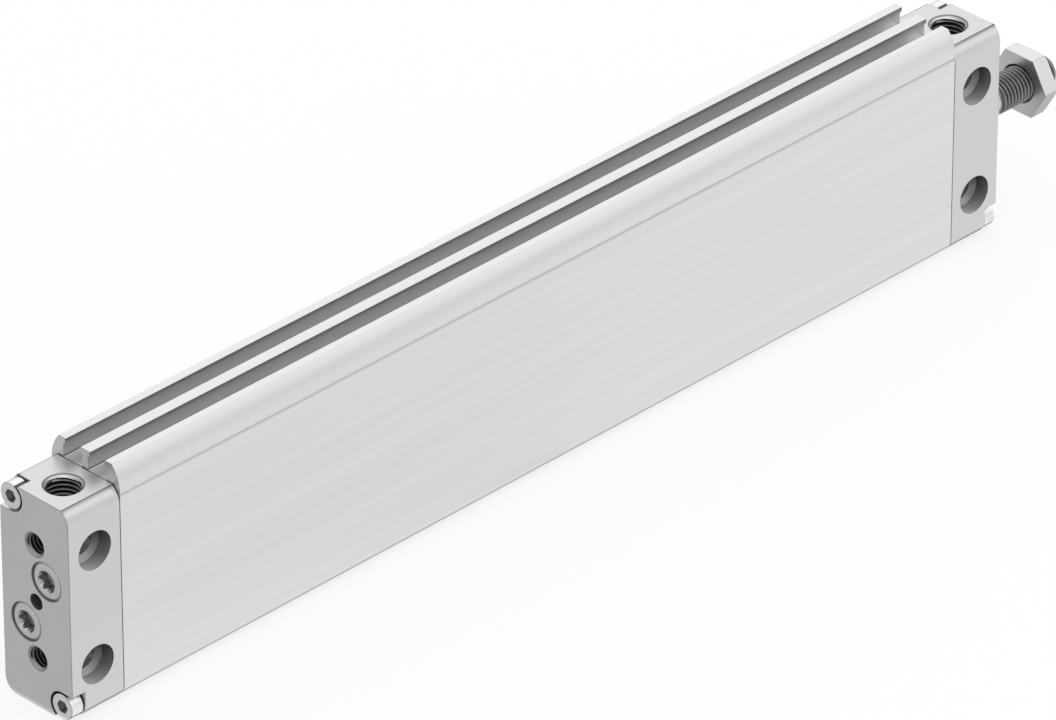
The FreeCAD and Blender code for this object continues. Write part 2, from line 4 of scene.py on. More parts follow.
import bmesh
import bpy
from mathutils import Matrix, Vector


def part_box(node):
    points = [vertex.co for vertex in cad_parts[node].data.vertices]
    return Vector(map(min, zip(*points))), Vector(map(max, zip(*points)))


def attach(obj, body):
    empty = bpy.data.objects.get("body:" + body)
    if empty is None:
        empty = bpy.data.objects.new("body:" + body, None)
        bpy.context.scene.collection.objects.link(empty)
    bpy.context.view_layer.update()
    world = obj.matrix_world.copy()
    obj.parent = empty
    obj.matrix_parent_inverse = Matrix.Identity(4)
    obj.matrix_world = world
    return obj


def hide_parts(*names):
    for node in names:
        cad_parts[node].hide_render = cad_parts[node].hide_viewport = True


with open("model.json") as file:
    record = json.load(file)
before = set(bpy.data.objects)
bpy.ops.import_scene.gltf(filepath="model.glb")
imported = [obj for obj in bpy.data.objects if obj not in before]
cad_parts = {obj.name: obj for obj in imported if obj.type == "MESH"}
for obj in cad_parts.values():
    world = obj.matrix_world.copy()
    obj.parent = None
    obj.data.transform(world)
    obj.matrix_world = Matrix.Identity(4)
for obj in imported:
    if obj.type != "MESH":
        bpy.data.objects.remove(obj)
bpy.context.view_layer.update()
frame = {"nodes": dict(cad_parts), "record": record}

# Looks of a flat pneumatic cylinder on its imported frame. Metres, X along the rod, Z up.

MM = 0.001
MOUNTS = {mount["name"]: mount for mount in frame["record"]["mounts"]}

# Camera, fitted to the edges and hole rims in the photograph
CAMERA_TARGET = Vector((-11.9, 0.0, 25.075)) * MM
CAMERA_AZIMUTH = math.radians(-45.138)
CAMERA_ELEVATION = math.radians(31.8)
CAMERA_DISTANCE = 2575.0 * MM
CAMERA_LENS = 350.42
SENSOR_WIDTH = 36.0
CAMERA_CLIP_END = 50.0

# How CAD meshes are cleaned up and their edges eased
WELD = 0.002 * MM
NEAR = 5 * WELD
FLAT_ANGLE = math.radians(0.6)
HARD_ANGLE = math.radians(22)
SHARP_ANGLE = math.radians(40)
EASED_EDGE = 0.13 * MM
EASED_CREASE = 0.15 * MM
EASED_SLOT_CORNER = 0.4 * MM
EASE_STEPS = 2
EASE_ROUNDNESS = 0.5
NORMAL_WEIGHT = 100
LONG_EDGE = 100 * MM
JOINT_PULL = 0.05 * MM
AROUND = 72

# Stations and axes, from the frame
REAR_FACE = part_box("rear_cap")[0].x
REAR_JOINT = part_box("barrel_profile")[0].x
FRONT_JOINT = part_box("barrel_profile")[1].x
CAP_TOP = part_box("rear_cap")[1].z
FRONT_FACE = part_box("front_cap")[1].x
AXIS = Vector((0.0, 0.0, CAP_TOP / 2))
ROD_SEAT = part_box("piston_rod")[0].x
ROD_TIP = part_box("piston_rod")[1].x
NUT_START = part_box("jam_nut")[0].x
NUT_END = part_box("jam_nut")[1].x
NUT_FLAT_R = (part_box("jam_nut")[1].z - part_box("jam_nut")[0].z) / 2

# Rod and its thread
ROD_R = 6.0 * MM
ROD_SHOULDER = FRONT_FACE + 7.8 * MM
ROD_CHAMFER = 0.8 * MM
ROD_BORE_R = 3.05 * MM
ROD_BORE_DEPTH = 16.0 * MM
RELIEF_R = 4.2 * MM
RELIEF_LENGTH = 1.9 * MM
ROD_THREAD_CREST = 4.97 * MM
ROD_THREAD_ROOT = 4.27 * MM
ROD_TIP_R = 4.1 * MM
THREAD_PITCH = 1.25 * MM

# Nut
NUT_BORE_R = 5.06 * MM
NUT_MOUTH = 0.5 * MM
NUT_FACE_R = 9.1 * MM
NUT_BEVEL_SLOPE = math.tan(math.radians(30))
NUT_EDGE = 0.1 * MM
NUT_CORNER_TURN = math.radians(0.6)
NUT_SIDES = 6
NUT_SIDE_STEPS = 24
NUT_EDGE_ROWS = (1, 3)
NUT_SIDE_ROW = 2

# Port and end threads
PORT_R = MOUNTS["rear_port"]["dims"]["r_mm"] * MM
PORT_MOUTH = 0.3 * MM
PORT_CREST = 4.25 * MM
PORT_PITCH = 1.28 * MM
PORT_LAND = 0.6 * MM
PORT_ROLL = math.radians(-95)
PORT_THREAD_LENGTH = 7.2 * MM
END_THREAD_R = MOUNTS["rear_end_threads"]["dims"]["hole_r_mm"] * MM
END_MOUTH = 0.33 * MM
END_CREST = 2.48 * MM
END_PITCH = 1.1 * MM
END_LAND = 0.05 * MM
END_THREAD_LENGTH = 4.6 * MM
END_HALF_GAP = MOUNTS["rear_end_threads"]["dims"]["spacing_y_mm"] * MM / 2
LINER_WALL = 0.3 * MM
LINER_RISE = 0.03 * MM
RUN_IN_SHARE = 0.2
HOLE_CREST_SHADE = 0.5
ROD_ROOT_SHADE = 0.36

# Screws
CAP_HEAD_R = 3.5 * MM
CAP_SOCKET_FLAT_R = 1.63 * MM
CAP_SCREW_SINK = 0.1 * MM
CAP_SCREW = {
    "head_r": CAP_HEAD_R,
    "head": 4.0 * MM,
    "edge": 0.14 * MM,
    "collar_r": CAP_HEAD_R,
    "back": 0.45 * MM,
    "stem_r": 2.0 * MM,
    "stem": 20.0 * MM,
    "mouth_r": CAP_SOCKET_FLAT_R,
    "depth": 2.0 * MM,
}
PLATE_HEAD_R = 4.75 * MM
PLATE_HEAD = 5.0 * MM
PLATE_LOBE_MEAN = 2.6 * MM
PLATE_LOBE_SWING = 0.34 * MM
PLATE_LOBES = 6
PLATE_SCREW = {
    "head_r": PLATE_HEAD_R,
    "head": PLATE_HEAD,
    "edge": 0.75 * MM,
    "collar_r": 5.2 * MM,
    "back": 0.1 * MM,
    "stem_r": 2.5 * MM,
    "stem": 16.0 * MM,
    "mouth_r": 3.0 * MM,
    "depth": 2.6 * MM,
}
SINK_SLOPE = math.tan(math.radians(60))
SOCKET_STEPS = 144

# Wiper ring
WIPER_R = 8.45 * MM
WIPER_BACK = 3.9 * MM
WIPER_REACH = 0.78 * MM
WIPER_BORE_R = 6.06 * MM
WIPER_COLLAR_R = 6.6 * MM
WIPER_ROUND = 0.25 * MM
WIPER_LIP_DROP = 0.3 * WIPER_ROUND

# Axes of cross holes as X and Z, of ports as X and Y, of end threads and plate screws as Y and Z
CROSS_MIDDLE = Vector(MOUNTS["cross_holes"]["pos_m"])
CROSS_HALF_X = MOUNTS["cross_holes"]["dims"]["spacing_x_mm"] * MM / 2
CROSS_HALF_Z = MOUNTS["cross_holes"]["dims"]["spacing_y_mm"] * MM / 2
CROSS_HOLE_AXES = [
    Vector((CROSS_MIDDLE.x + i * CROSS_HALF_X, CROSS_MIDDLE.z + k * CROSS_HALF_Z))
    for i in (-1, 1)
    for k in (-1, 1)
]
PORT_AXES = [Vector(MOUNTS[name]["pos_m"]).xy for name in ("rear_port", "front_port")]
END_THREAD_AXES = [Vector((0.0, AXIS.z - END_HALF_GAP)), Vector((0.0, AXIS.z + END_HALF_GAP))]
PLATE_LOW, PLATE_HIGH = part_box("rear_plate_screws")
PLATE_SCREW_AXES = [
    Vector((PLATE_LOW.y + PLATE_HEAD_R, PLATE_HIGH.z - PLATE_HEAD_R)),
    Vector((PLATE_HIGH.y - PLATE_HEAD_R, PLATE_LOW.z + PLATE_HEAD_R)),
]


# Node helpers

def put(tree, kind, inputs=None, **settings):
    """A new node. Settings are its properties, inputs its sockets: a value, or an output to link."""
    made = tree.nodes.new(kind)
    for key, value in settings.items():
        setattr(made, key, value)
    for key, value in (inputs or {}).items():
        if isinstance(value, bpy.types.NodeSocket):
            tree.links.new(value, made.inputs[key])
        else:
            made.inputs[key].default_value = value
    return made


def calc(operation, *terms):
    """Output of a Math node on values and outputs, in the outputs' own tree."""
    tree = next(term.id_data for term in terms if isinstance(term, bpy.types.NodeSocket))
    return put(tree, "ShaderNodeMath", dict(enumerate(terms)), operation=operation).outputs[0]


# Finishes, with painted shade and light

# Marks are attributes of the meshes that paint shade: the share of colour that they leave and the power of
# their course
EDGE_SHADE = "edge_line"
THREAD_SHADE = "thread_shade"
CREASE_SHADE = "crease_shade"
WALL_SHADE = "wall_shade"
HOLE_SHADE = "hole_shade"
MARKS = {
    EDGE_SHADE: (0.55, 1.0),
    WALL_SHADE: (0.38, 1.0),
    CREASE_SHADE: (0.3, 1.0),
    HOLE_SHADE: (0.12, 1.0),
    THREAD_SHADE: (0.1, 0.5),
}

# Painted light: attribute with the share of colour that a place keeps against the painted shade of any
# recess. A cap is duller there
SEAT_LIGHT = "seat_light"

# Recesses: share of colour left in full shade, openness where it starts to rise and where it is whole
RECESS_REACH = 6.0 * MM
RECESS_SAMPLES = 8
BARREL_RECESS = (0.3, 0.0, 0.5)
CAP_RECESS = (0.65, 0.05, 0.75)
TAPPED_RECESS = (0.1, 0.05, 0.75)
STEEL_RECESS = (0.5, 0.0, 1.0)
GAP_REACH = 1.2 * MM
GAP_RECESS = (0.06, 0.15, 0.75)
SEAT_GAP_RECESS = (0.2, 0.15, 0.75)

# Grain: lowest and highest noise that counts, grains per metre along X, Y and Z, shares and depths
NOISE_LOW = 0.3
NOISE_HIGH = 0.7
GRAIN_DETAIL = 3.0
DRAWN_FINE = (9.0, 1700.0, 1700.0)
DRAWN_BROAD = (2.5, 260.0, 260.0)
DRAWN_FINE_SHARE = 0.6
DRAWN_DEPTH = 0.002 * MM
MILLED_FINE = (2600.0, 2600.0, 2600.0)
MILLED_BROAD = (90.0, 90.0, 90.0)
MILLED_FINE_SHARE = 0.5
MILLED_DEPTH = 0.001 * MM
TURNED_MARKS = (4200.0, 60.0, 60.0)
TURNED_BROAD = (150.0, 150.0, 150.0)
TURNED_DEPTH = 0.0008 * MM
SPECKLE = (1500.0, 1500.0, 1500.0)
SPECKLE_DETAIL = 4.0
SPECKLE_DARK = 0.82
SPECKLE_LIGHT = 1.15
SPECKLE_ROUGH = 0.06
SPECKLE_DEPTH = 0.01 * MM


def grain(tree, stretch, detail=GRAIN_DETAIL):
    """Noise of the given number of grains per metre along X, Y and Z."""
    place = put(tree, "ShaderNodeTexCoord").outputs["Object"]
    stretched = put(tree, "ShaderNodeMapping", {"Vector": place, "Scale": stretch}).outputs["Vector"]
    noise = put(tree, "ShaderNodeTexNoise", {"Vector": stretched, "Scale": 1.0, "Detail": detail})
    return noise.outputs["Fac"]


def mixed(fine, broad, fine_share):
    """A fine and a broad grain in one."""
    return calc("MULTIPLY_ADD", fine, fine_share, calc("MULTIPLY", broad, 1.0 - fine_share))


def spread(tree, noise, low, high):
    """A noise value laid out from low to high."""
    reach = {"Value": noise, "From Min": NOISE_LOW, "From Max": NOISE_HIGH, "To Min": low, "To Max": high}
    return put(tree, "ShaderNodeMapRange", reach).outputs["Result"]


def grey(level):
    return (level, level, level, 1.0)


def mottled(tree, noise, dark, light):
    """Colour that goes from dark to light with the noise."""
    ramp = put(tree, "ShaderNodeValToRGB", {"Fac": spread(tree, noise, 0.0, 1.0)})
    ramp.color_ramp.elements[0].color = dark
    ramp.color_ramp.elements[1].color = light
    return ramp.outputs["Color"]


def carried(tree, attribute):
    """Value of an attribute of the mesh, 0 where it has none."""
    return put(tree, "ShaderNodeAttribute", attribute_name=attribute).outputs["Fac"]


def scaled(tree, colour, share):
    """A share of a colour."""
    product = put(tree, "ShaderNodeVectorMath", {0: colour, 1: share}, operation="MULTIPLY")
    return product.outputs["Vector"]


def darkened(tree, colour, attribute, level, power):
    """Painted shade: a colour brought down to a share of itself where the mesh carries the attribute."""
    amount = calc("POWER", carried(tree, attribute), power)
    share = put(tree, "ShaderNodeMapRange", {"Value": amount, "To Min": 1.0, "To Max": level})
    return scaled(tree, colour, share.outputs["Result"])


def recessed(tree, colour, recess, distance, only_local):
    """A colour that goes down in holes and slots, where less light comes in."""
    level, shut, wide = recess
    settings = {"samples": RECESS_SAMPLES, "only_local": only_local}
    openness = put(tree, "ShaderNodeAmbientOcclusion", {"Distance": distance}, **settings).outputs["AO"]
    reach = {"Value": openness, "From Min": shut, "From Max": wide, "To Min": level}
    share = put(tree, "ShaderNodeMapRange", reach).outputs["Result"]
    # Painted light: a place keeps at least the share of colour that its seat light gives
    return scaled(tree, colour, calc("MAXIMUM", share, carried(tree, SEAT_LIGHT)))


def new_finish(name, metallic):
    """A material, its node tree and its shader."""
    material = bpy.data.materials.new(name)
    material.use_nodes = True
    tree = material.node_tree
    shader = tree.nodes["Principled BSDF"]
    shader.inputs["Metallic"].default_value = metallic
    return material, tree, shader


def connect(tree, shader, colour, roughness, height, depth, recess=STEEL_RECESS, gap=GAP_RECESS):
    """Colour with painted shade in its recesses and along its marks, roughness, and a bump of the given
    depth onto a shader.
    """
    bump = put(tree, "ShaderNodeBump", {"Height": height, "Distance": depth, "Strength": 1.0})
    shown = recessed(tree, colour, recess, RECESS_REACH, only_local=True)
    shown = recessed(tree, shown, gap, GAP_REACH, only_local=False)
    # Painted shade along the marks that the meshes carry
    for attribute, (level, power) in MARKS.items():
        shown = darkened(tree, shown, attribute, level, power)
    tree.links.new(shown, shader.inputs["Base Color"])
    tree.links.new(roughness, shader.inputs["Roughness"])
    tree.links.new(bump.outputs["Normal"], shader.inputs["Normal"])


def drawn_aluminium(name, greys, rough):
    """Clear anodised extrusion with fine streaks along its length."""
    material, tree, shader = new_finish(name, metallic=1.0)
    fine = grain(tree, DRAWN_FINE)
    streak = mixed(fine, grain(tree, DRAWN_BROAD), DRAWN_FINE_SHARE)
    colour = mottled(tree, streak, *map(grey, greys))
    roughness = spread(tree, fine, *rough)
    connect(tree, shader, colour, roughness, streak, DRAWN_DEPTH, recess=BARREL_RECESS)
    return material


def milled_aluminium(name, greys, rough, recess=CAP_RECESS, has_seats=False):
    """Satin anodised or bare aluminium with a fine even grain and broad soft patches."""
    material, tree, shader = new_finish(name, metallic=1.0)
    fine = grain(tree, MILLED_FINE)
    broad = grain(tree, MILLED_BROAD)
    colour = mottled(tree, mixed(fine, broad, MILLED_FINE_SHARE), *map(grey, greys))
    # A cap is less metallic where it carries painted light
    if has_seats:
        bright = calc("SUBTRACT", 1.0, carried(tree, SEAT_LIGHT))
        tree.links.new(bright, shader.inputs["Metallic"])
    connect(tree, shader, colour, spread(tree, broad, *rough), fine, MILLED_DEPTH, recess=recess)
    return material


def turned_steel(name, greys, rough, gap=GAP_RECESS):
    """Steel with fine marks round the rod's axis."""
    material, tree, shader = new_finish(name, metallic=1.0)
    marks = grain(tree, TURNED_MARKS)
    broad = grain(tree, TURNED_BROAD)
    colour = mottled(tree, marks, *map(grey, greys))
    connect(tree, shader, colour, spread(tree, broad, *rough), marks, TURNED_DEPTH, gap=gap)
    return material


def plain_compound(name, colour, roughness, metallic=0.0):
    """Rubber, plastic or sintered metal with a mottled, slightly uneven skin."""
    material, tree, shader = new_finish(name, metallic)
    speckle = grain(tree, SPECKLE, detail=SPECKLE_DETAIL)
    dark = tuple(SPECKLE_DARK * part for part in colour) + (1.0,)
    light = tuple(SPECKLE_LIGHT * part for part in colour) + (1.0,)
    uneven = spread(tree, speckle, roughness - SPECKLE_ROUGH, roughness + SPECKLE_ROUGH)
    connect(tree, shader, mottled(tree, speckle, dark, light), uneven, speckle, SPECKLE_DEPTH)
    return material


BARREL_FINISH = drawn_aluminium("drawn_aluminium", greys=(0.72, 0.79), rough=(0.36, 0.44))
CAP_FINISH = milled_aluminium(
    "satin_cap_aluminium", greys=(0.645, 0.685), rough=(0.36, 0.42), has_seats=True
)
PISTON_FINISH = milled_aluminium("bare_piston_aluminium", greys=(0.5, 0.58), rough=(0.3, 0.4))
SCREW_FINISH = turned_steel("plated_screw_steel", greys=(0.8, 0.87), rough=(0.3, 0.36))
PLATE_SCREW_FINISH = turned_steel(
    "dull_screw_steel", greys=(0.64, 0.7), rough=(0.3, 0.36), gap=SEAT_GAP_RECESS
)
NUT_FINISH = turned_steel("plated_nut_steel", greys=(0.66, 0.74), rough=(0.25, 0.33))
ROD_FINISH = turned_steel("ground_rod_steel", greys=(0.6, 0.68), rough=(0.1, 0.16))
# Same steel as the rod, cut rougher; its darker grey is painted shade
THREAD_FINISH = turned_steel("cut_thread_steel", greys=(0.48, 0.58), rough=(0.28, 0.38))
TAPPED_FINISH = milled_aluminium(
    "tapped_aluminium", greys=(0.6, 0.66), rough=(0.3, 0.4), recess=TAPPED_RECESS
)
SEAL_FINISH = plain_compound("seal_rubber", colour=(0.024, 0.024, 0.026), roughness=0.5)
BUFFER_FINISH = plain_compound("buffer_rubber", colour=(0.04, 0.04, 0.041), roughness=0.65)
BAND_FINISH = plain_compound("band_plastic", colour=(0.1, 0.075, 0.058), roughness=0.5)
BRONZE_FINISH = plain_compound(
    "sintered_bronze", colour=(0.5, 0.34, 0.18), roughness=0.42, metallic=1.0
)
MAGNET_FINISH = plain_compound("magnet_compound", colour=(0.06, 0.06, 0.065), roughness=0.55)


# Mesh helpers

def stood(name, data):
    """A new object in the scene."""
    made = bpy.data.objects.new(name, data)
    bpy.context.scene.collection.objects.link(made)
    return made


def plain_mesh(bm, name):
    """The mesh of a bmesh, which is freed."""
    mesh = bpy.data.meshes.new(name)
    bm.to_mesh(mesh)
    bm.free()
    return mesh


def smooth_mesh(bm, name):
    """A smooth-shaded mesh whose sharp corners stay sharp."""
    mesh = plain_mesh(bm, name)
    mesh.shade_smooth()
    mesh.set_sharp_from_angle(angle=SHARP_ANGLE)
    return mesh


def place_piece(mesh, material, body, slot, *replaced):
    """Puts a finished mesh on its body, in place of the CAD nodes that it stands for."""
    mesh.materials.clear()
    mesh.materials.append(material)
    piece = stood(mesh.name, mesh)
    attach(piece, body)
    if replaced:
        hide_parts(*replaced)
    return piece


def evaluated_mesh(carrier, name):
    """The carrier's mesh with its modifiers applied. The carrier is removed."""
    shown = carrier.evaluated_get(bpy.context.evaluated_depsgraph_get())
    mesh = bpy.data.meshes.new_from_object(shown)
    mesh.name = name
    bpy.data.objects.remove(carrier)
    return mesh


def is_hard(edge):
    """Whether an edge is a clear corner."""
    return len(edge.link_faces) == 2 and edge.calc_face_angle() > HARD_ANGLE


def is_long(edge):
    """Whether an edge runs a long way along X."""
    return abs(edge.verts[0].co.x - edge.verts[1].co.x) > LONG_EDGE


# The caps' shoulders: arc and level of the CAD shape, then where the photograph has crease and foot
SHOULDER_R = 4.0 * MM
SHOULDER_Z = 56.67 * MM
CREASE_Y = 9.65 * MM
SHOULDER_FOOT = 56.2 * MM


def reshape_shoulders(bm):
    """Moves the points of a cap's two shoulders onto a flatter arc, which makes the crease clearer."""
    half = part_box("rear_cap")[1].y
    rise = CAP_TOP - SHOULDER_FOOT
    inset = half - CREASE_Y
    radius = (inset ** 2 + rise ** 2) / (2 * inset)
    stretch = math.asin(rise / radius) / math.asin((CAP_TOP - SHOULDER_Z) / SHOULDER_R)
    for vertex in bm.verts:
        out = abs(vertex.co.y) - half + SHOULDER_R
        up = vertex.co.z - SHOULDER_Z
        if up > -WELD and out > 0.0 and abs(math.hypot(out, up) - SHOULDER_R) < NEAR:
            angle = math.atan2(up, out) * stretch
            vertex.co.y = math.copysign(half - radius + radius * math.cos(angle), vertex.co.y)
            vertex.co.z = SHOULDER_FOOT + radius * math.sin(angle)


def is_crease(edge):
    """Whether an edge lies on the crease between a cap's port face and its shoulder."""
    places = [vertex.co for vertex in edge.verts]
    return all(abs(co.z - CAP_TOP) < WELD and abs(abs(co.y) - CREASE_Y) < NEAR for co in places)


def is_slot_corner(edge):
    """Whether an edge runs along the foot of a slot's wall."""
    return is_hard(edge) and is_long(edge) and abs(edge.verts[0].co.z - CAP_TOP) < WELD


def ease(bm, edges, width):
    """Rounds edges over and marks the new faces with painted edge shade."""
    eased = bmesh.ops.bevel(
        bm,
        geom=edges,
        offset=width,
        offset_type="OFFSET",
        segments=EASE_STEPS,
        profile=EASE_ROUNDNESS,
        affect="EDGES",
        clamp_overlap=False,
    )
    edge_line = bm.faces.layers.float[EDGE_SHADE]
    for face in eased["faces"]:
        face[edge_line] = 1.0


# Where the painted shade and light of the extrusion and of the caps lie, and how strong they are
SLOTS_HALF = 8.7 * MM
GROOVE_FOOT = 57.5 * MM
GROOVE_TOP = 58.6 * MM
GROOVE_SHADE = 0.8
RAIL_EDGE_SHADE = 0.15
RAIL_EDGE_DROP = 0.3 * MM
RAIL_OUTER = 8.9 * MM
CREASE_FADE = 0.9 * MM
CREASE_DROP = 1.6 * MM
HOLE_REACH = 5.7 * MM
HOLE_MIDDLE = 3.4 * MM
HOLE_DARK_SIDE = Vector((0.8, 0.6))
HOLE_WALL_SHADE = 0.6
PORT_RIM_DROP = 0.6 * MM
PORT_RIM_SHADE = 0.6
END_RIM_REACH = 4.25 * MM
END_RIM_DROP = 0.6 * MM
END_RIM_SHADE = 0.4
FOOT_EDGE = 0.2 * MM
FOOT_SHADE = 0.55
FOOT_LINE_TOP = 2.6 * MM
FOOT_LINE_FULL = 1.95 * MM
FOOT_LINE_LOW = 0.6 * MM
CAP_FOOT_LINE = 0.95
SEAT_KEEPS = 0.5

# How far normals lean towards an axis: of walls, of lips, of faces that lie level, and spans of these
WALL_LEAN = 0.3
LIP_LEAN = 0.5
LEVEL_LEAN = 0.95
SLANT_LEANS = (0.02, 0.98)
RIM_LEANS = (WALL_LEAN, LEVEL_LEAN)
FOOT_LEANS = (0.05, LEVEL_LEAN)


def between(value, span):
    return span[0] < value < span[1]


def foot_line(height):
    """How much of the painted shade line along the rounded foot a height above the floor has."""
    below_top = (FOOT_LINE_TOP - height) / (FOOT_LINE_TOP - FOOT_LINE_FULL)
    return min(max(min(below_top, height / FOOT_LINE_LOW), 0.0), 1.0)


def mark_extrusion(bm):
    """Shades slot walls, the groove under the flanks, the outer rails' edges and a line along the foot."""
    edge_line = bm.faces.layers.float[EDGE_SHADE]
    wall_shade = bm.loops.layers.float.new(WALL_SHADE)
    rail_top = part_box("barrel_profile")[1].z
    for face in bm.faces:
        if not any(is_long(edge) for edge in face.edges):
            continue
        place = face.calc_center_median()
        slanted = between(face.normal.z, SLANT_LEANS)
        if place.z < FOOT_LINE_TOP:
            for loop in face.loops:
                loop[wall_shade] = foot_line(loop.vert.co.z)
        elif abs(face.normal.y) > WALL_LEAN and place.z > CAP_TOP and abs(place.y) < SLOTS_HALF:
            on_corner = face[edge_line] > 0.0
            if face.normal.z > LIP_LEAN:
                face[edge_line] = 0.0
                continue
            for loop in face.loops:
                rise = (loop.vert.co.z - CAP_TOP) / (rail_top - CAP_TOP)
                loop[wall_shade] = 1.0 if on_corner else rise
        elif slanted and GROOVE_FOOT < place.z < GROOVE_TOP:
            face[edge_line] = GROOVE_SHADE * (place.z - GROOVE_FOOT) / (GROOVE_TOP - GROOVE_FOOT)
        elif slanted and place.z > rail_top - RAIL_EDGE_DROP and abs(place.y) > RAIL_OUTER:
            face[edge_line] = RAIL_EDGE_SHADE


def nearest(axes, place):
    """Way to a place from the nearest of some axes."""
    return min((place - axis for axis in axes), key=lambda way: way.length)


def on_plate_seat(place, normal):
    """Whether a face belongs to the wall round a plate screw's head."""
    way = nearest(PLATE_SCREW_AXES, place.yz)
    by_head = place.x < REAR_FACE + PLATE_HEAD and PLATE_HEAD_R < way.length < HOLE_REACH
    return by_head and way.dot(normal.yz) < -WALL_LEAN * way.length


def in_cross_hole(place, normal):
    """Whether a face lies in an outer part of a cross hole and doesn't look straight out of it."""
    outer = abs(place.y) > HOLE_MIDDLE and abs(normal.y) < LEVEL_LEAN
    return outer and nearest(CROSS_HOLE_AXES, place.xz).length < HOLE_REACH


def on_port_rim(place, normal):
    """Whether a face belongs to the bevelled rim of a port."""
    on_bevel = place.z > CAP_TOP - PORT_RIM_DROP and between(normal.z, RIM_LEANS)
    return on_bevel and nearest(PORT_AXES, place.xy).length < HOLE_REACH


def on_end_rim(place, normal):
    """Whether a face belongs to the bevelled rim of a thread in an end face."""
    to_end = min(place.x - REAR_FACE, FRONT_FACE - place.x)
    on_bevel = to_end < END_RIM_DROP and between(abs(normal.x), RIM_LEANS)
    return on_bevel and nearest(END_THREAD_AXES, place.yz).length < END_RIM_REACH


def cap_shade(place, normal, height):
    """How much painted shade a cap's face has at a height: on threads' rims, the rounded foot and the
    lowest edges.
    """
    if on_port_rim(place, normal):
        return PORT_RIM_SHADE
    if on_end_rim(place, normal):
        return END_RIM_SHADE
    if place.z < FOOT_LINE_TOP and normal.z < -WALL_LEAN and abs(normal.x) < WALL_LEAN:
        return CAP_FOOT_LINE * foot_line(height)
    if place.z < FOOT_EDGE and between(-normal.z, FOOT_LEANS):
        return FOOT_SHADE
    return 0.0


def mark_cap(bm):
    """Paints shade and light into cross holes by side, shade on rims of threads and the foot, light on
    screw seats.
    """
    hole_shade = bm.loops.layers.float.new(HOLE_SHADE)
    seat_light = bm.loops.layers.float.new(SEAT_LIGHT)
    for face in bm.faces:
        place = face.calc_center_median()
        normal = face.normal
        on_seat = on_plate_seat(place, normal)
        in_cross = in_cross_hole(place, normal)
        for loop in face.loops:
            if on_seat:
                loop[seat_light] = SEAT_KEEPS
            if in_cross:
                side = nearest(CROSS_HOLE_AXES, loop.vert.co.xz).normalized().dot(HOLE_DARK_SIDE)
                strength = 1.0 if abs(normal.y) > WALL_LEAN else HOLE_WALL_SHADE
                loop[hole_shade] = strength * (1.0 + side) / 2
                loop[seat_light] = (1.0 - side) / 2
            else:
                loop[hole_shade] = cap_shade(place, normal, loop.vert.co.z)


def mark_crease(bm, low_x, high_x):
    """Shades a cap's shoulders just under their crease, between two stations."""
    crease_shade = bm.verts.layers.float.new(CREASE_SHADE)
    for vertex in bm.verts:
        x, y, z = vertex.co
        past_crease = abs(y) - CREASE_Y
        if low_x < x < high_x and past_crease > -NEAR and z > CAP_TOP - CREASE_DROP:
            vertex[crease_shade] = min(max(1.0 - past_crease / CREASE_FADE, 0.0), 1.0)


def eased_copy(node, name, pulled, is_cap):
    """A node's mesh with its triangles joined into flats and its hard edges rounded over.

    Pulled gives for a station along X how far the points there move, which opens a fine joint line.
    An extrusion's long edges stay sharp, apart from the slots' corners. A cap also gets its crease.
    """
    bm = bmesh.new()
    bm.from_mesh(frame["nodes"][node].data)
    bm.faces.layers.float.new(EDGE_SHADE)
    bmesh.ops.remove_doubles(bm, verts=bm.verts, dist=WELD)
    for station, pull in pulled.items():
        for vertex in bm.verts:
            if abs(vertex.co.x - station) < WELD:
                vertex.co.x += pull
    bmesh.ops.dissolve_limit(bm, angle_limit=FLAT_ANGLE, verts=bm.verts, edges=bm.edges)
    if is_cap:
        reshape_shoulders(bm)
        ease(bm, [e for e in bm.edges if is_crease(e)], EASED_CREASE)
    else:
        ease(bm, [e for e in bm.edges if is_slot_corner(e)], EASED_SLOT_CORNER)
    ease(bm, [e for e in bm.edges if is_hard(e) and not is_long(e)], EASED_EDGE)
    for face in bm.faces:
        face.smooth = True
    for edge in bm.edges:
        edge.smooth = not (is_long(edge) and is_hard(edge))
    low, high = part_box(node)
    if is_cap:
        mark_cap(bm)
        mark_crease(bm, low.x + EASED_EDGE / 2, high.x - EASED_EDGE / 2)
    else:
        mark_extrusion(bm)
    carrier = stood(name + "_rough", plain_mesh(bm, name + "_rough"))
    normals = carrier.modifiers.new("even_normals", "WEIGHTED_NORMAL")
    normals.weight = NORMAL_WEIGHT
    normals.keep_sharp = True
    return evaluated_mesh(carrier, name)


def even(steps):
    """Angles in equal steps round a full turn."""
    return [2 * math.pi * k / steps for k in range(steps)]


def no_lines(row, column):
    return False


def spun(name, rows, origin=AXIS, angles=even(AROUND), lined=no_lines):
    """Mesh turned about a line along X. A row is (along, radius), numbers or functions of the angle.

    Lined tells whether the surface after a row and before an angle, by their numbers, is an eased edge
    with painted edge shade.
    """
    bm = bmesh.new()
    edge_line = bm.faces.layers.float.new(EDGE_SHADE)
    rings = []
    for along, radius in rows:
        ring = []
        for angle in angles:
            x = along(angle) if callable(along) else along
            r = radius(angle) if callable(radius) else radius
            ring.append(bm.verts.new(origin + Vector((x, r * math.cos(angle), r * math.sin(angle)))))
        rings.append(ring)
    for row, (near, far) in enumerate(zip(rings, rings[1:])):
        for k in range(len(angles)):
            face = bm.faces.new((near[k], near[k - 1], far[k - 1], far[k]))
            face[edge_line] = float(lined(row, k))
    bmesh.ops.remove_doubles(bm, verts=bm.verts, dist=WELD)
    bmesh.ops.recalc_face_normals(bm, faces=bm.faces)
    return smooth_mesh(bm, name)


def hexagon(flat_r):
    """Radius of a hexagon with two level flats, as a function of the angle."""
    side = math.pi / 3
    return lambda angle: flat_r / math.cos((angle + side) % side - side / 2)


def six_lobe(angle):
    """Radius of the six-lobe socket."""
    return PLATE_LOBE_MEAN + PLATE_LOBE_SWING * math.cos(PLATE_LOBES * angle)


# Geometry node trees

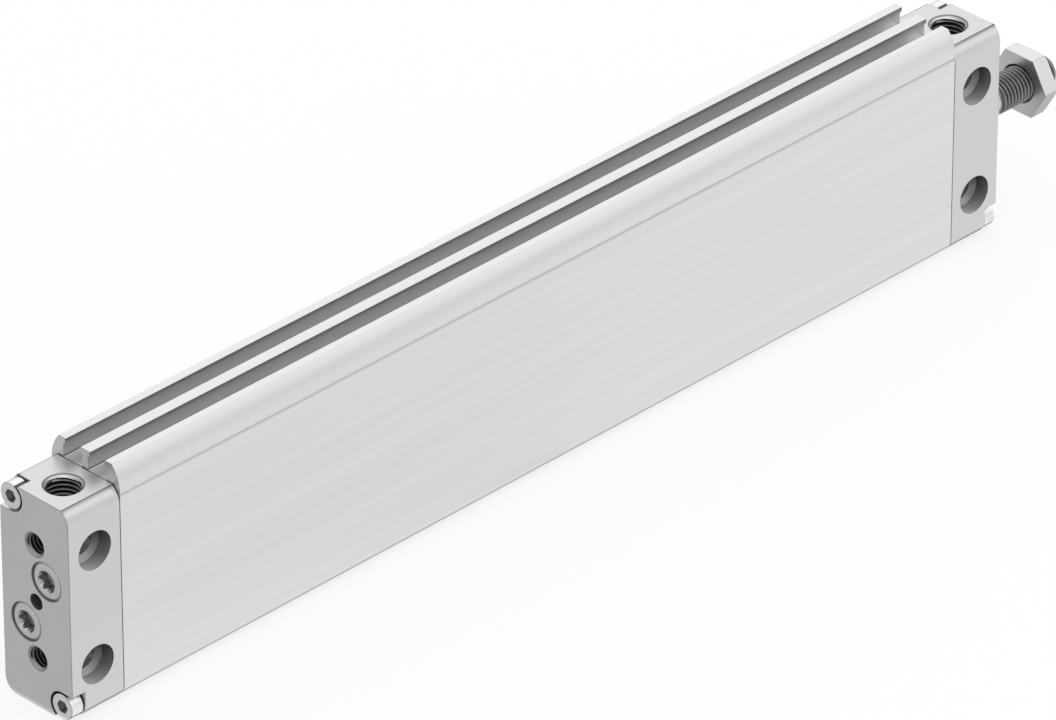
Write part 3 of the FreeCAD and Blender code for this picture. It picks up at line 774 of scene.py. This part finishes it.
def new_tree(name, inputs):
    """A geometry tree with named inputs. Returns it with the inputs' outputs by name."""
    tree = bpy.data.node_groups.new(name, "GeometryNodeTree")
    for label, kind in inputs.items():
        tree.interface.new_socket(label, in_out="INPUT", socket_type=kind)
    tree.interface.new_socket("Geometry", in_out="OUTPUT", socket_type="NodeSocketGeometry")
    return tree, put(tree, "NodeGroupInput").outputs


def set_out(tree, unit, given):
    """Ends a tree: the unit stands at each place of a row of places, made real, with its material."""
    row = {"Count": given["Count"], "Start Location": given["First Place"], "Offset": given["Place Step"]}
    places = put(tree, "GeometryNodeMeshLine", row, mode="OFFSET").outputs["Mesh"]
    turned = put(tree, "FunctionNodeEulerToRotation", {"Euler": given["Turned"]}).outputs["Rotation"]
    copies = {"Points": places, "Instance": unit, "Rotation": turned}
    placed = put(tree, "GeometryNodeInstanceOnPoints", copies).outputs["Instances"]
    real = put(tree, "GeometryNodeRealizeInstances", {"Geometry": placed}).outputs["Geometry"]
    dressed = put(tree, "GeometryNodeSetMaterial", {"Geometry": real, "Material": given["Material"]})
    put(tree, "NodeGroupOutput", {"Geometry": dressed.outputs["Geometry"]})


PLACE_INPUTS = {
    "First Place": "NodeSocketVector",
    "Place Step": "NodeSocketVector",
    "Count": "NodeSocketInt",
    "Turned": "NodeSocketVector",
    "Material": "NodeSocketMaterial",
}


def screw_row_tree():
    """A row of equal screws."""
    tree, given = new_tree("screw_row", {"Screw": "NodeSocketObject", **PLACE_INPUTS})
    screw = put(tree, "GeometryNodeObjectInfo", {"Object": given["Screw"]})
    set_out(tree, screw.outputs["Geometry"], given)
    return tree


# Thread: widths of root and crest in pitches, rows in a turn, spare turns, rows that close the back
ROOT_WIDTH = 0.3
CREST_WIDTH = 0.06
ROWS_PER_TURN = 4
SPARE_TURNS = 2
ROD_CLOSING_ROWS = 2
HOLE_CLOSING_ROWS = 3


def thread_course(given, row, turn):
    """How far along the wall a row lies after a share of a turn, and 1 for a row on the crest."""
    beat = calc("SUBTRACT", row, 1.0)
    half = calc("FLOOR", calc("MULTIPLY", beat, 0.5))
    odd = calc("MULTIPLY_ADD", half, -2.0, beat)
    raised = calc("FLOORED_MODULO", half, 2.0)
    width = calc("MULTIPLY_ADD", raised, CREST_WIDTH - ROOT_WIDTH, ROOT_WIDTH)
    flank = calc("MULTIPLY", raised, (ROOT_WIDTH - CREST_WIDTH) / 2)
    starts = calc("ADD", flank, calc("MULTIPLY_ADD", half, 0.5, turn))
    turns_up = calc("MULTIPLY_ADD", odd, width, starts)
    climb = calc("MULTIPLY", given["Pitch"], calc("SUBTRACT", turns_up, 1.0))
    along = calc("MINIMUM", calc("MAXIMUM", climb, 0.0), given["Length"])
    return along, raised


def thread_wall(tree, given, along, raised):
    """The wall's radius at a place along it, and how much painted shade the thread has there."""
    depth = calc("SUBTRACT", given["Crest Radius"], given["Root Radius"])
    full_at = calc("ADD", given["Land"], given["Run In"])
    run_in = {"Value": along, "From Min": given["Land"], "From Max": full_at}
    grown_in = put(tree, "ShaderNodeMapRange", run_in).outputs["Result"]
    filled = calc("MAXIMUM", raised, calc("SUBTRACT", 1.0, grown_in))
    thread_r = calc("MULTIPLY_ADD", filled, depth, given["Root Radius"])
    start_cone = calc("MULTIPLY_ADD", given["Side"], given["Start Radius"], along)
    end_run = calc("SUBTRACT", given["Length"], along)
    end_cone = calc("MULTIPLY_ADD", given["Side"], given["End Radius"], end_run)
    cones = calc("MINIMUM", start_cone, end_cone)
    limited = calc("MINIMUM", calc("MULTIPLY", given["Side"], thread_r), cones)
    wall_r = calc("MULTIPLY", given["Side"], limited)
    root_share = calc("DIVIDE", calc("SUBTRACT", given["Crest Radius"], wall_r), depth)
    root_mark = calc("MULTIPLY", calc("MINIMUM", root_share, 1.0), given["Root Shade"])
    mark = calc("MULTIPLY", grown_in, calc("MAXIMUM", root_mark, given["Crest Shade"]))
    return wall_r, mark


def wall_place(tree, given, row, turn, along, wall_r):
    """Where a point of the sheet comes to lie, on the wall or in the end rows on its back."""
    at_start = calc("LESS_THAN", row, 0.5)
    past_end = calc("GREATER_THAN", row, calc("ADD", given["Thread Rows"], 0.5))
    closing = calc("GREATER_THAN", row, calc("ADD", given["Thread Rows"], 1.5))
    on_back = calc("MAXIMUM", at_start, past_end)
    to_back = calc("SUBTRACT", given["Back Radius"], wall_r)
    radius = calc("MULTIPLY_ADD", on_back, to_back, wall_r)
    back_along = calc("MULTIPLY", given["Length"], calc("SUBTRACT", past_end, closing))
    x = calc("MULTIPLY_ADD", on_back, calc("SUBTRACT", back_along, along), along)
    angle = calc("MULTIPLY", turn, 2 * math.pi)
    y = calc("MULTIPLY", radius, calc("COSINE", angle))
    z = calc("MULTIPLY", radius, calc("SINE", angle))
    return put(tree, "ShaderNodeCombineXYZ", {"X": x, "Y": y, "Z": z}).outputs["Vector"]


def threaded_wall_tree():
    """A helical thread on a closed wall, outside a core or inside a sleeve, with a bevel at both ends.

    The wall is a sheet of rows. Four rows make one turn of the thread: root, root, crest, crest, with a
    wide root and a narrow crest. Each row climbs by one pitch as it goes round. The first and last rows
    lie on the wall's plain back. The land at the start has no roots. They grow over the run-in behind it,
    from where crests and roots are shaded by the given shares.
    """
    radii = ("Crest Radius", "Root Radius", "Back Radius", "Start Radius", "End Radius")
    lengths = radii + ("Pitch", "Length", "Land", "Run In", "Side", "Crest Shade", "Root Shade")
    counts = ("Thread Rows", "Rows", "Steps Around")
    inputs = {label: "NodeSocketFloat" for label in lengths}
    inputs.update({label: "NodeSocketInt" for label in counts})
    tree, given = new_tree("threaded_wall", {**inputs, **PLACE_INPUTS})
    last_row = calc("SUBTRACT", given["Rows"], 1.0)
    columns = calc("ADD", given["Steps Around"], 1.0)
    size = {"Size X": 1.0, "Size Y": last_row, "Vertices X": columns, "Vertices Y": given["Rows"]}
    sheet = put(tree, "GeometryNodeMeshGrid", size).outputs["Mesh"]
    position = put(tree, "GeometryNodeInputPosition").outputs["Position"]
    flat = put(tree, "ShaderNodeSeparateXYZ", {"Vector": position})
    turn = calc("ADD", flat.outputs["X"], 0.5)
    row = calc("ROUND", calc("MULTIPLY_ADD", last_row, 0.5, flat.outputs["Y"]))
    along, raised = thread_course(given, row, turn)
    wall_r, mark = thread_wall(tree, given, along, raised)
    place = wall_place(tree, given, row, turn, along, wall_r)
    marking = {"Geometry": sheet, "Name": THREAD_SHADE, "Value": mark}
    marked = put(tree, "GeometryNodeStoreNamedAttribute", marking, data_type="FLOAT", domain="POINT")
    rolling = {"Geometry": marked.outputs["Geometry"], "Position": place}
    rolled = put(tree, "GeometryNodeSetPosition", rolling).outputs["Geometry"]
    closed = put(tree, "GeometryNodeMergeByDistance", {"Geometry": rolled, "Distance": WELD})
    set_out(tree, closed.outputs["Geometry"], given)
    return tree


SCREW_ROW = screw_row_tree()
THREADED_WALL = threaded_wall_tree()


def grown(tree, name, **values):
    """Plain mesh that a tree makes from the given inputs, named with underscores for spaces."""
    carrier = stood(name, bpy.data.meshes.new(name))
    modifier = carrier.modifiers.new(name, "NODES")
    modifier.node_group = tree
    for socket in tree.interface.items_tree:
        label = socket.name.lower().replace(" ", "_")
        if label in values:
            modifier[socket.identifier] = values[label]
    mesh = evaluated_mesh(carrier, name)
    bm = bmesh.new()
    bm.from_mesh(mesh)
    bpy.data.meshes.remove(mesh)
    bmesh.ops.recalc_face_normals(bm, faces=bm.faces)
    return smooth_mesh(bm, name)


NO_TURN = (0.0, 0.0, 0.0)
HALF_TURN = (0.0, 0.0, math.pi)
POINT_DOWN = (PORT_ROLL, math.pi / 2, 0.0)


def row_of(first, last, turned=NO_TURN):
    """Inputs for two equal pieces at two places."""
    return {"first_place": tuple(first), "place_step": tuple(last - first), "count": 2, "turned": turned}


def threaded(name, material, places, length, pitch, **radii):
    """A threaded wall: side 1 is a rod's, side -1 a hole's, which has one more row to close its back."""
    thread_rows = ROWS_PER_TURN * (math.ceil(length / pitch) + SPARE_TURNS) + 1
    rows = thread_rows + (ROD_CLOSING_ROWS if radii["side"] > 0 else HOLE_CLOSING_ROWS)
    return grown(
        THREADED_WALL,
        name,
        material=material,
        length=length,
        pitch=pitch,
        thread_rows=thread_rows,
        rows=rows,
        steps_around=AROUND,
        **radii,
        **places,
    )


# Housing

# Heads in shares: the front edge along and inwards, where its collar starts, a socket's pointed end
HEAD_ROUND = ((0.0, 1.0), (0.12, 0.6), (0.4, 0.2))
HEAD_ROUND_ROWS = (4, 5, 6)
COLLAR_START = 0.6
COLLAR_ROW = 6
SOCKET_TIP = 1.12

# Which faces of a cap screw's head get painted shade, measured from its axis
HEAD_SIDE = 0.97 * CAP_HEAD_R
HEAD_RISE = 0.5 * CAP_HEAD_R
HEAD_DIP = 0.35 * CAP_HEAD_R
HEAD_CORNER = 0.42 * CAP_HEAD_R


# Rows whose faces carry painted edge shade: a cap screw's rounded front edge, a plate screw's collar
def on_head_edge(row, column):
    return row in HEAD_ROUND_ROWS


def on_collar(row, column):
    return row == COLLAR_ROW


def socket_screw(name, socket, lined, head_r, head, edge, collar_r, back, stem_r, stem, mouth_r, depth):
    """Cylinder head screw along +X, its head's face at the origin, with a socket of the given outline.

    A shallow cone at the socket's mouth cuts only what stands further in than its radius. The head's
    front edge ends in a thin collar and its back edge is bevelled.
    """
    rows = [
        (depth * SOCKET_TIP, 0.0),
        (depth, socket),
        (lambda angle: max(mouth_r - socket(angle), 0.0) * SINK_SLOPE, socket),
        (0.0, lambda angle: max(mouth_r, socket(angle))),
        *((along * edge, head_r - inwards * edge) for along, inwards in HEAD_ROUND),
        (COLLAR_START * edge, collar_r),
        (edge, collar_r),
        (edge, head_r),
        (head - back, head_r),
        (head, head_r - back),
        (head, stem_r),
        (head + stem, stem_r),
        (head + stem, 0.0),
    ]
    return spun(name, rows, origin=Vector(), angles=even(SOCKET_STEPS), lined=lined)


def screw_row(name, template, material, node, places):
    """Screws at their places in one mesh, which stands for the CAD node."""
    pattern = bpy.data.objects.new(template.name, template)
    mesh = grown(SCREW_ROW, name, screw=pattern, material=material, **places)
    bpy.data.objects.remove(pattern)
    return place_piece(mesh, material, "housing", "screw_steel", node)


def shade_heads(piece, node):
    """Paints shade on the sides of cap screw heads where they dip into their notch, and along the cap's
    corner.
    """
    low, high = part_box(node)
    shaded = piece.data.attributes.new(HOLE_SHADE, "FLOAT", "FACE")
    for face in piece.data.polygons:
        side, corner = (1.0, high) if face.center.z > AXIS.z else (-1.0, low)
        out, up = side * (face.center.yz - corner.yz) + Vector((CAP_HEAD_R, CAP_HEAD_R))
        if math.hypot(out, up) < HEAD_SIDE:
            continue
        if up > HEAD_RISE and out < -HEAD_DIP:
            shaded.data[face.index].value = 1.0
        elif up > HEAD_CORNER and out > HEAD_RISE:
            shaded.data[face.index].value = CAP_FOOT_LINE


def cap_screw_places(node, x, turned):
    """The two screws stand in the lower near and the upper far corner of the node's box."""
    low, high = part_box(node)
    first = Vector((x, low.y + CAP_HEAD_R, low.z + CAP_HEAD_R))
    last = Vector((x, high.y - CAP_HEAD_R, high.z - CAP_HEAD_R))
    return row_of(first, last, turned)


def dress_blocks():
    """Barrel and caps, with a fine joint line between them."""
    barrel_pulled = {REAR_JOINT: JOINT_PULL, FRONT_JOINT: -JOINT_PULL}
    barrel = eased_copy("barrel_profile", "barrel", barrel_pulled, is_cap=False)
    place_piece(barrel, BARREL_FINISH, "housing", "barrel_aluminium", "barrel_profile")
    caps_pulled = {"rear_cap": {REAR_JOINT: -JOINT_PULL}, "front_cap": {FRONT_JOINT: JOINT_PULL}}
    for node, pulled in caps_pulled.items():
        block = eased_copy(node, node + "_block", pulled, is_cap=True)
        place_piece(block, CAP_FINISH, "housing", "cap_aluminium", node)


def dress_screws():
    """A pair of cap screws at each end, and the pair of plate screws in the rear face."""
    cap_screw = socket_screw("cap_screw", hexagon(CAP_SOCKET_FLAT_R), on_head_edge, **CAP_SCREW)
    rear_x = REAR_FACE + CAP_SCREW_SINK
    front_x = FRONT_FACE - CAP_SCREW_SINK
    for end, x, turned in (("rear", rear_x, NO_TURN), ("front", front_x, HALF_TURN)):
        node = end + "_cap_screws"
        places = cap_screw_places(node, x, turned)
        pair = screw_row(end + "_cap_screw_pair", cap_screw, SCREW_FINISH, node, places)
        shade_heads(pair, node)
    plate_screw = socket_screw("plate_screw", six_lobe, on_collar, **PLATE_SCREW)
    plate_places = row_of(*(Vector((REAR_FACE, *axis)) for axis in PLATE_SCREW_AXES))
    screw_row("rear_plate_screw_pair", plate_screw, PLATE_SCREW_FINISH, "rear_plate_screws", plate_places)


def hole_thread(name, places, radius, crest, pitch, length, land):
    """Thread wall of a pair of tapped holes."""
    mesh = threaded(
        name,
        TAPPED_FINISH,
        places,
        length,
        pitch,
        side=-1.0,
        crest_radius=crest,
        root_radius=radius - LINER_RISE,
        back_radius=radius + LINER_WALL,
        start_radius=radius,
        end_radius=radius,
        land=land,
        run_in=RUN_IN_SHARE * pitch,
        crest_shade=HOLE_CREST_SHADE,
        root_shade=1.0,
    )
    place_piece(mesh, TAPPED_FINISH, "housing", "cap_aluminium")


def dress_threads():
    """Threads of the two ports and of the two holes in each end face, below their bevelled mouths."""
    ports = (Vector((*axis, CAP_TOP - PORT_MOUTH)) for axis in PORT_AXES)
    port_places = row_of(*ports, POINT_DOWN)
    port_sizes = (PORT_R, PORT_CREST, PORT_PITCH, PORT_THREAD_LENGTH, PORT_LAND)
    hole_thread("port_threads", port_places, *port_sizes)
    end_sizes = (END_THREAD_R, END_CREST, END_PITCH, END_THREAD_LENGTH, END_LAND)
    half_gap = Vector((0.0, 0.0, END_HALF_GAP))
    rear = Vector((REAR_FACE + END_MOUTH, 0.0, AXIS.z))
    front = Vector((FRONT_FACE - END_MOUTH, 0.0, AXIS.z))
    for name, middle, turned in (("rear", rear, NO_TURN), ("front", front, HALF_TURN)):
        places = row_of(middle - half_gap, middle + half_gap, turned)
        hole_thread(name + "_end_threads", places, *end_sizes)


def dress_wiper():
    """Wiper ring with a rounded lip that stands a little out of the front face."""
    back = FRONT_FACE - WIPER_BACK
    tip = FRONT_FACE + WIPER_REACH
    rows = [
        (back, WIPER_R),
        (back, WIPER_COLLAR_R),
        (FRONT_FACE - WIPER_BACK / 2, WIPER_COLLAR_R),
        (tip - WIPER_ROUND, WIPER_BORE_R),
        (tip, WIPER_BORE_R + WIPER_ROUND),
        (tip - WIPER_LIP_DROP, WIPER_BORE_R + 2 * WIPER_ROUND),
        (FRONT_FACE - WIPER_ROUND, WIPER_R - WIPER_ROUND),
        (FRONT_FACE - 2 * WIPER_ROUND, WIPER_R),
        (back, WIPER_R),
    ]
    place_piece(spun("wiper_ring", rows), SEAL_FINISH, "housing", "seal_rubber", "rod_wiper")


# Rod and nut

def dress_rod():
    """Ground rod with a relief, then the threaded tip."""
    rows = [
        (ROD_SEAT + ROD_BORE_DEPTH, 0.0),
        (ROD_SEAT + ROD_BORE_DEPTH, ROD_BORE_R),
        (ROD_SEAT, ROD_BORE_R),
        (ROD_SEAT, ROD_R),
        (ROD_SHOULDER - ROD_CHAMFER, ROD_R),
        (ROD_SHOULDER, ROD_R - ROD_CHAMFER),
        (ROD_SHOULDER, RELIEF_R),
        (ROD_SHOULDER + RELIEF_LENGTH, RELIEF_R),
        (ROD_SHOULDER + RELIEF_LENGTH, 0.0),
    ]
    place_piece(spun("rod_shank", rows), ROD_FINISH, "rod", "rod_steel", "piston_rod")
    thread_start = ROD_SHOULDER + RELIEF_LENGTH
    foot = AXIS + Vector((thread_start, 0.0, 0.0))
    place = {"first_place": tuple(foot), "place_step": (0.0, 0.0, 0.0), "count": 1, "turned": NO_TURN}
    thread = threaded(
        "rod_thread",
        THREAD_FINISH,
        place,
        ROD_TIP - thread_start,
        THREAD_PITCH,
        side=1.0,
        crest_radius=ROD_THREAD_CREST,
        root_radius=ROD_THREAD_ROOT,
        back_radius=0.0,
        start_radius=RELIEF_R,
        end_radius=ROD_TIP_R,
        land=0.0,
        run_in=WELD,
        crest_shade=0.0,
        root_shade=ROD_ROOT_SHADE,
    )
    place_piece(thread, THREAD_FINISH, "rod", "rod_steel")


def dress_nut():
    """Hexagon nut with slightly dulled edges, its corners taken off by a cone at the outer face."""
    outline = hexagon(NUT_FLAT_R)

    def face_r(angle):
        return min(outline(angle), NUT_FACE_R)

    def bevel(angle):
        return (outline(angle) - face_r(angle)) * NUT_BEVEL_SLOPE

    mouth_r = NUT_BORE_R + NUT_MOUTH
    rows = [
        (NUT_START, mouth_r),
        (NUT_START, lambda angle: outline(angle) - NUT_EDGE),
        (NUT_START + NUT_EDGE, outline),
        (lambda angle: NUT_END - NUT_EDGE - bevel(angle), outline),
        (NUT_END, lambda angle: face_r(angle) - NUT_EDGE),
        (NUT_END, mouth_r),
        (NUT_END - NUT_MOUTH, NUT_BORE_R),
        (NUT_START + NUT_MOUTH, NUT_BORE_R),
        (NUT_START, mouth_r),
    ]
    side = math.pi / 3
    inner = [side * k / NUT_SIDE_STEPS for k in range(1, NUT_SIDE_STEPS)]
    one_side = [NUT_CORNER_TURN, *inner, side - NUT_CORNER_TURN]
    angles = [corner * side + turn for corner in range(NUT_SIDES) for turn in one_side]

    # Its eased edges and corners carry painted edge shade
    def on_edge(row, column):
        at_corner = row == NUT_SIDE_ROW and column % len(one_side) == 0
        return row in NUT_EDGE_ROWS or at_corner

    body = spun("nut_body", rows, angles=angles, lined=on_edge)
    place_piece(body, NUT_FINISH, "nut", "nut_steel", "jam_nut")


# Inner pieces, which keep their CAD shape

INNER_FINISHES = {
    "rear_bore_plate": PISTON_FINISH,
    "rear_bore_seal": SEAL_FINISH,
    "front_bore_seal": SEAL_FINISH,
    "rear_buffer": BUFFER_FINISH,
    "front_buffer": BUFFER_FINISH,
    "rod_bearing": BRONZE_FINISH,
    "rod_seal": SEAL_FINISH,
    "piston": PISTON_FINISH,
    "piston_seal_rear": SEAL_FINISH,
    "piston_seal_front": SEAL_FINISH,
    "piston_guide_band": BAND_FINISH,
    "piston_magnet": MAGNET_FINISH,
    "piston_screw": SCREW_FINISH,
    "rod_end_ring": SEAL_FINISH,
}


def dress_inner_pieces():
    """Gives each inner piece its finish and its own material slot."""
    for node, material in INNER_FINISHES.items():
        piece = frame["nodes"][node]
        piece.data.materials.clear()
        piece.data.materials.append(material)


# Studio

# Floor: half its width, its glow for the camera, its own grey, and its brightness in reflections
FLOOR_HALF = 6.0
FLOOR_GLOW = 0.8
FLOOR_ALBEDO = 0.2
FLOOR_MIRRORED = 0.97

# Card of painted shade, which stands for floor in shade in reflections: its corners as X and Y, its height
# and its brightness
CARD_CORNERS = (
    (-0.75, -0.5), (-0.1797, -0.5), (-0.1797, 0.014), (0.15, 0.014),
    (0.15, -0.014), (0.26, -0.014), (0.26, 0.6), (-0.75, 0.6),
)
CARD_HEIGHT = 0.5 * MM
CARD_LEVEL = 0.6

# Sky, and softboxes by name: place, size and brightness
HORIZON_LEVEL = 0.55
ZENITH_LEVEL = 0.95
SOFTBOXES = {
    "key_softbox": ((1.3, -1.5, 1.4), 2.4, 0.45),
    "back_softbox": ((1.1, 1.4, 1.15), 2.0, 0.42),
    "top_softbox": ((-0.8, -0.8, 2.0), 1.6, 0.5),
}


def bare_material(name):
    material = bpy.data.materials.new(name)
    material.use_nodes = True
    material.node_tree.nodes.clear()
    return material


def floor_material():
    """Pale floor that glows for the camera and takes the object's shadow. Reflections show it plain."""
    material = bare_material("studio_floor")
    tree = material.node_tree
    matt = put(tree, "ShaderNodeBsdfDiffuse", {"Color": grey(FLOOR_ALBEDO)})
    light_path = put(tree, "ShaderNodeLightPath").outputs
    strength = calc("MULTIPLY", light_path["Is Camera Ray"], FLOOR_GLOW)
    glow = put(tree, "ShaderNodeEmission", {"Strength": strength})
    both = put(tree, "ShaderNodeAddShader", {0: matt.outputs["BSDF"], 1: glow.outputs["Emission"]})
    plain = put(tree, "ShaderNodeEmission", {"Strength": FLOOR_MIRRORED})
    mirrored = {0: light_path["Is Glossy Ray"], 1: both.outputs["Shader"], 2: plain.outputs["Emission"]}
    shown = put(tree, "ShaderNodeMixShader", mirrored)
    put(tree, "ShaderNodeOutputMaterial", {"Surface": shown.outputs["Shader"]})
    return material


# Painted shade: an even grey glow, darker than the floor, for the card
def card_material():
    material = bare_material("grey_card")
    glow = put(material.node_tree, "ShaderNodeEmission", {"Strength": CARD_LEVEL})
    put(material.node_tree, "ShaderNodeOutputMaterial", {"Surface": glow.outputs["Emission"]})
    return material


def level_sheet(name, corners, height, material):
    bm = bmesh.new()
    bm.faces.new([bm.verts.new((x, y, height)) for x, y in corners])
    mesh = plain_mesh(bm, name)
    mesh.materials.append(material)
    return stood(name, mesh)


def lay_floor():
    corners = [(FLOOR_HALF * x, FLOOR_HALF * y) for x, y in ((-1, -1), (1, -1), (1, 1), (-1, 1))]
    floor = level_sheet("studio_floor", corners, 0.0, floor_material())


def lay_card():
    """Grey card of painted shade on the floor behind the object, which only shows in the metal that faces
    it.
    """
    card = level_sheet("grey_card", CARD_CORNERS, CARD_HEIGHT, card_material())
    card.visible_camera = False
    card.visible_diffuse = False
    card.visible_shadow = False
    card.visible_transmission = False


def light_world():
    """Sky that grows from a dim horizon to a bright top, and is white where it is the background."""
    world = bpy.data.worlds.new("studio_sky")
    world.use_nodes = True
    tree = world.node_tree
    tree.nodes.clear()
    direction = put(tree, "ShaderNodeTexCoord").outputs["Generated"]
    height = put(tree, "ShaderNodeSeparateXYZ", {"Vector": direction}).outputs["Z"]
    reach = {"Value": height, "To Min": HORIZON_LEVEL, "To Max": ZENITH_LEVEL}
    level = put(tree, "ShaderNodeMapRange", reach).outputs["Result"]
    camera_ray = put(tree, "ShaderNodeLightPath").outputs["Is Camera Ray"]
    seen = put(tree, "ShaderNodeMix", {"Factor": camera_ray, "A": level, "B": 1.0}, data_type="FLOAT")
    sky = put(tree, "ShaderNodeBackground", {"Color": grey(1.0), "Strength": seen.outputs["Result"]})
    put(tree, "ShaderNodeOutputWorld", {"Surface": sky.outputs["Background"]})
    bpy.context.scene.world = world


def softbox(name, place, size, level):
    """Square lamp of the given brightness, turned to the object. It adds to the sky behind it."""
    data = bpy.data.lights.new(name, "AREA")
    data.shape = "SQUARE"
    data.size = size
    data.energy = level * math.pi * size * size
    lamp = stood(name, data)
    lamp.location = place
    lamp.rotation_euler = (AXIS - Vector(place)).to_track_quat("-Z", "Y").to_euler()


def light_studio():
    lay_floor()
    lay_card()
    light_world()
    for name, (place, size, level) in SOFTBOXES.items():
        softbox(name, place, size, level)


def set_camera():
    """Camera at the place that the fit gives, turned to its target."""
    level = math.cos(CAMERA_ELEVATION)
    back = Vector(
        (math.sin(CAMERA_AZIMUTH) * level, -math.cos(CAMERA_AZIMUTH) * level, math.sin(CAMERA_ELEVATION))
    )
    data = bpy.data.cameras.new("photo_camera")
    data.lens = CAMERA_LENS
    data.sensor_width = SENSOR_WIDTH
    data.clip_end = CAMERA_CLIP_END
    camera = stood("photo_camera", data)
    camera.location = CAMERA_TARGET + back * CAMERA_DISTANCE
    camera.rotation_euler = (-back).to_track_quat("-Z", "Y").to_euler()
    bpy.context.scene.camera = camera


dress_blocks()
dress_screws()
dress_threads()
dress_wiper()
dress_rod()
dress_nut()
dress_inner_pieces()
set_camera()
light_studio()
bpy.context.scene.view_settings.view_transform = "Standard"
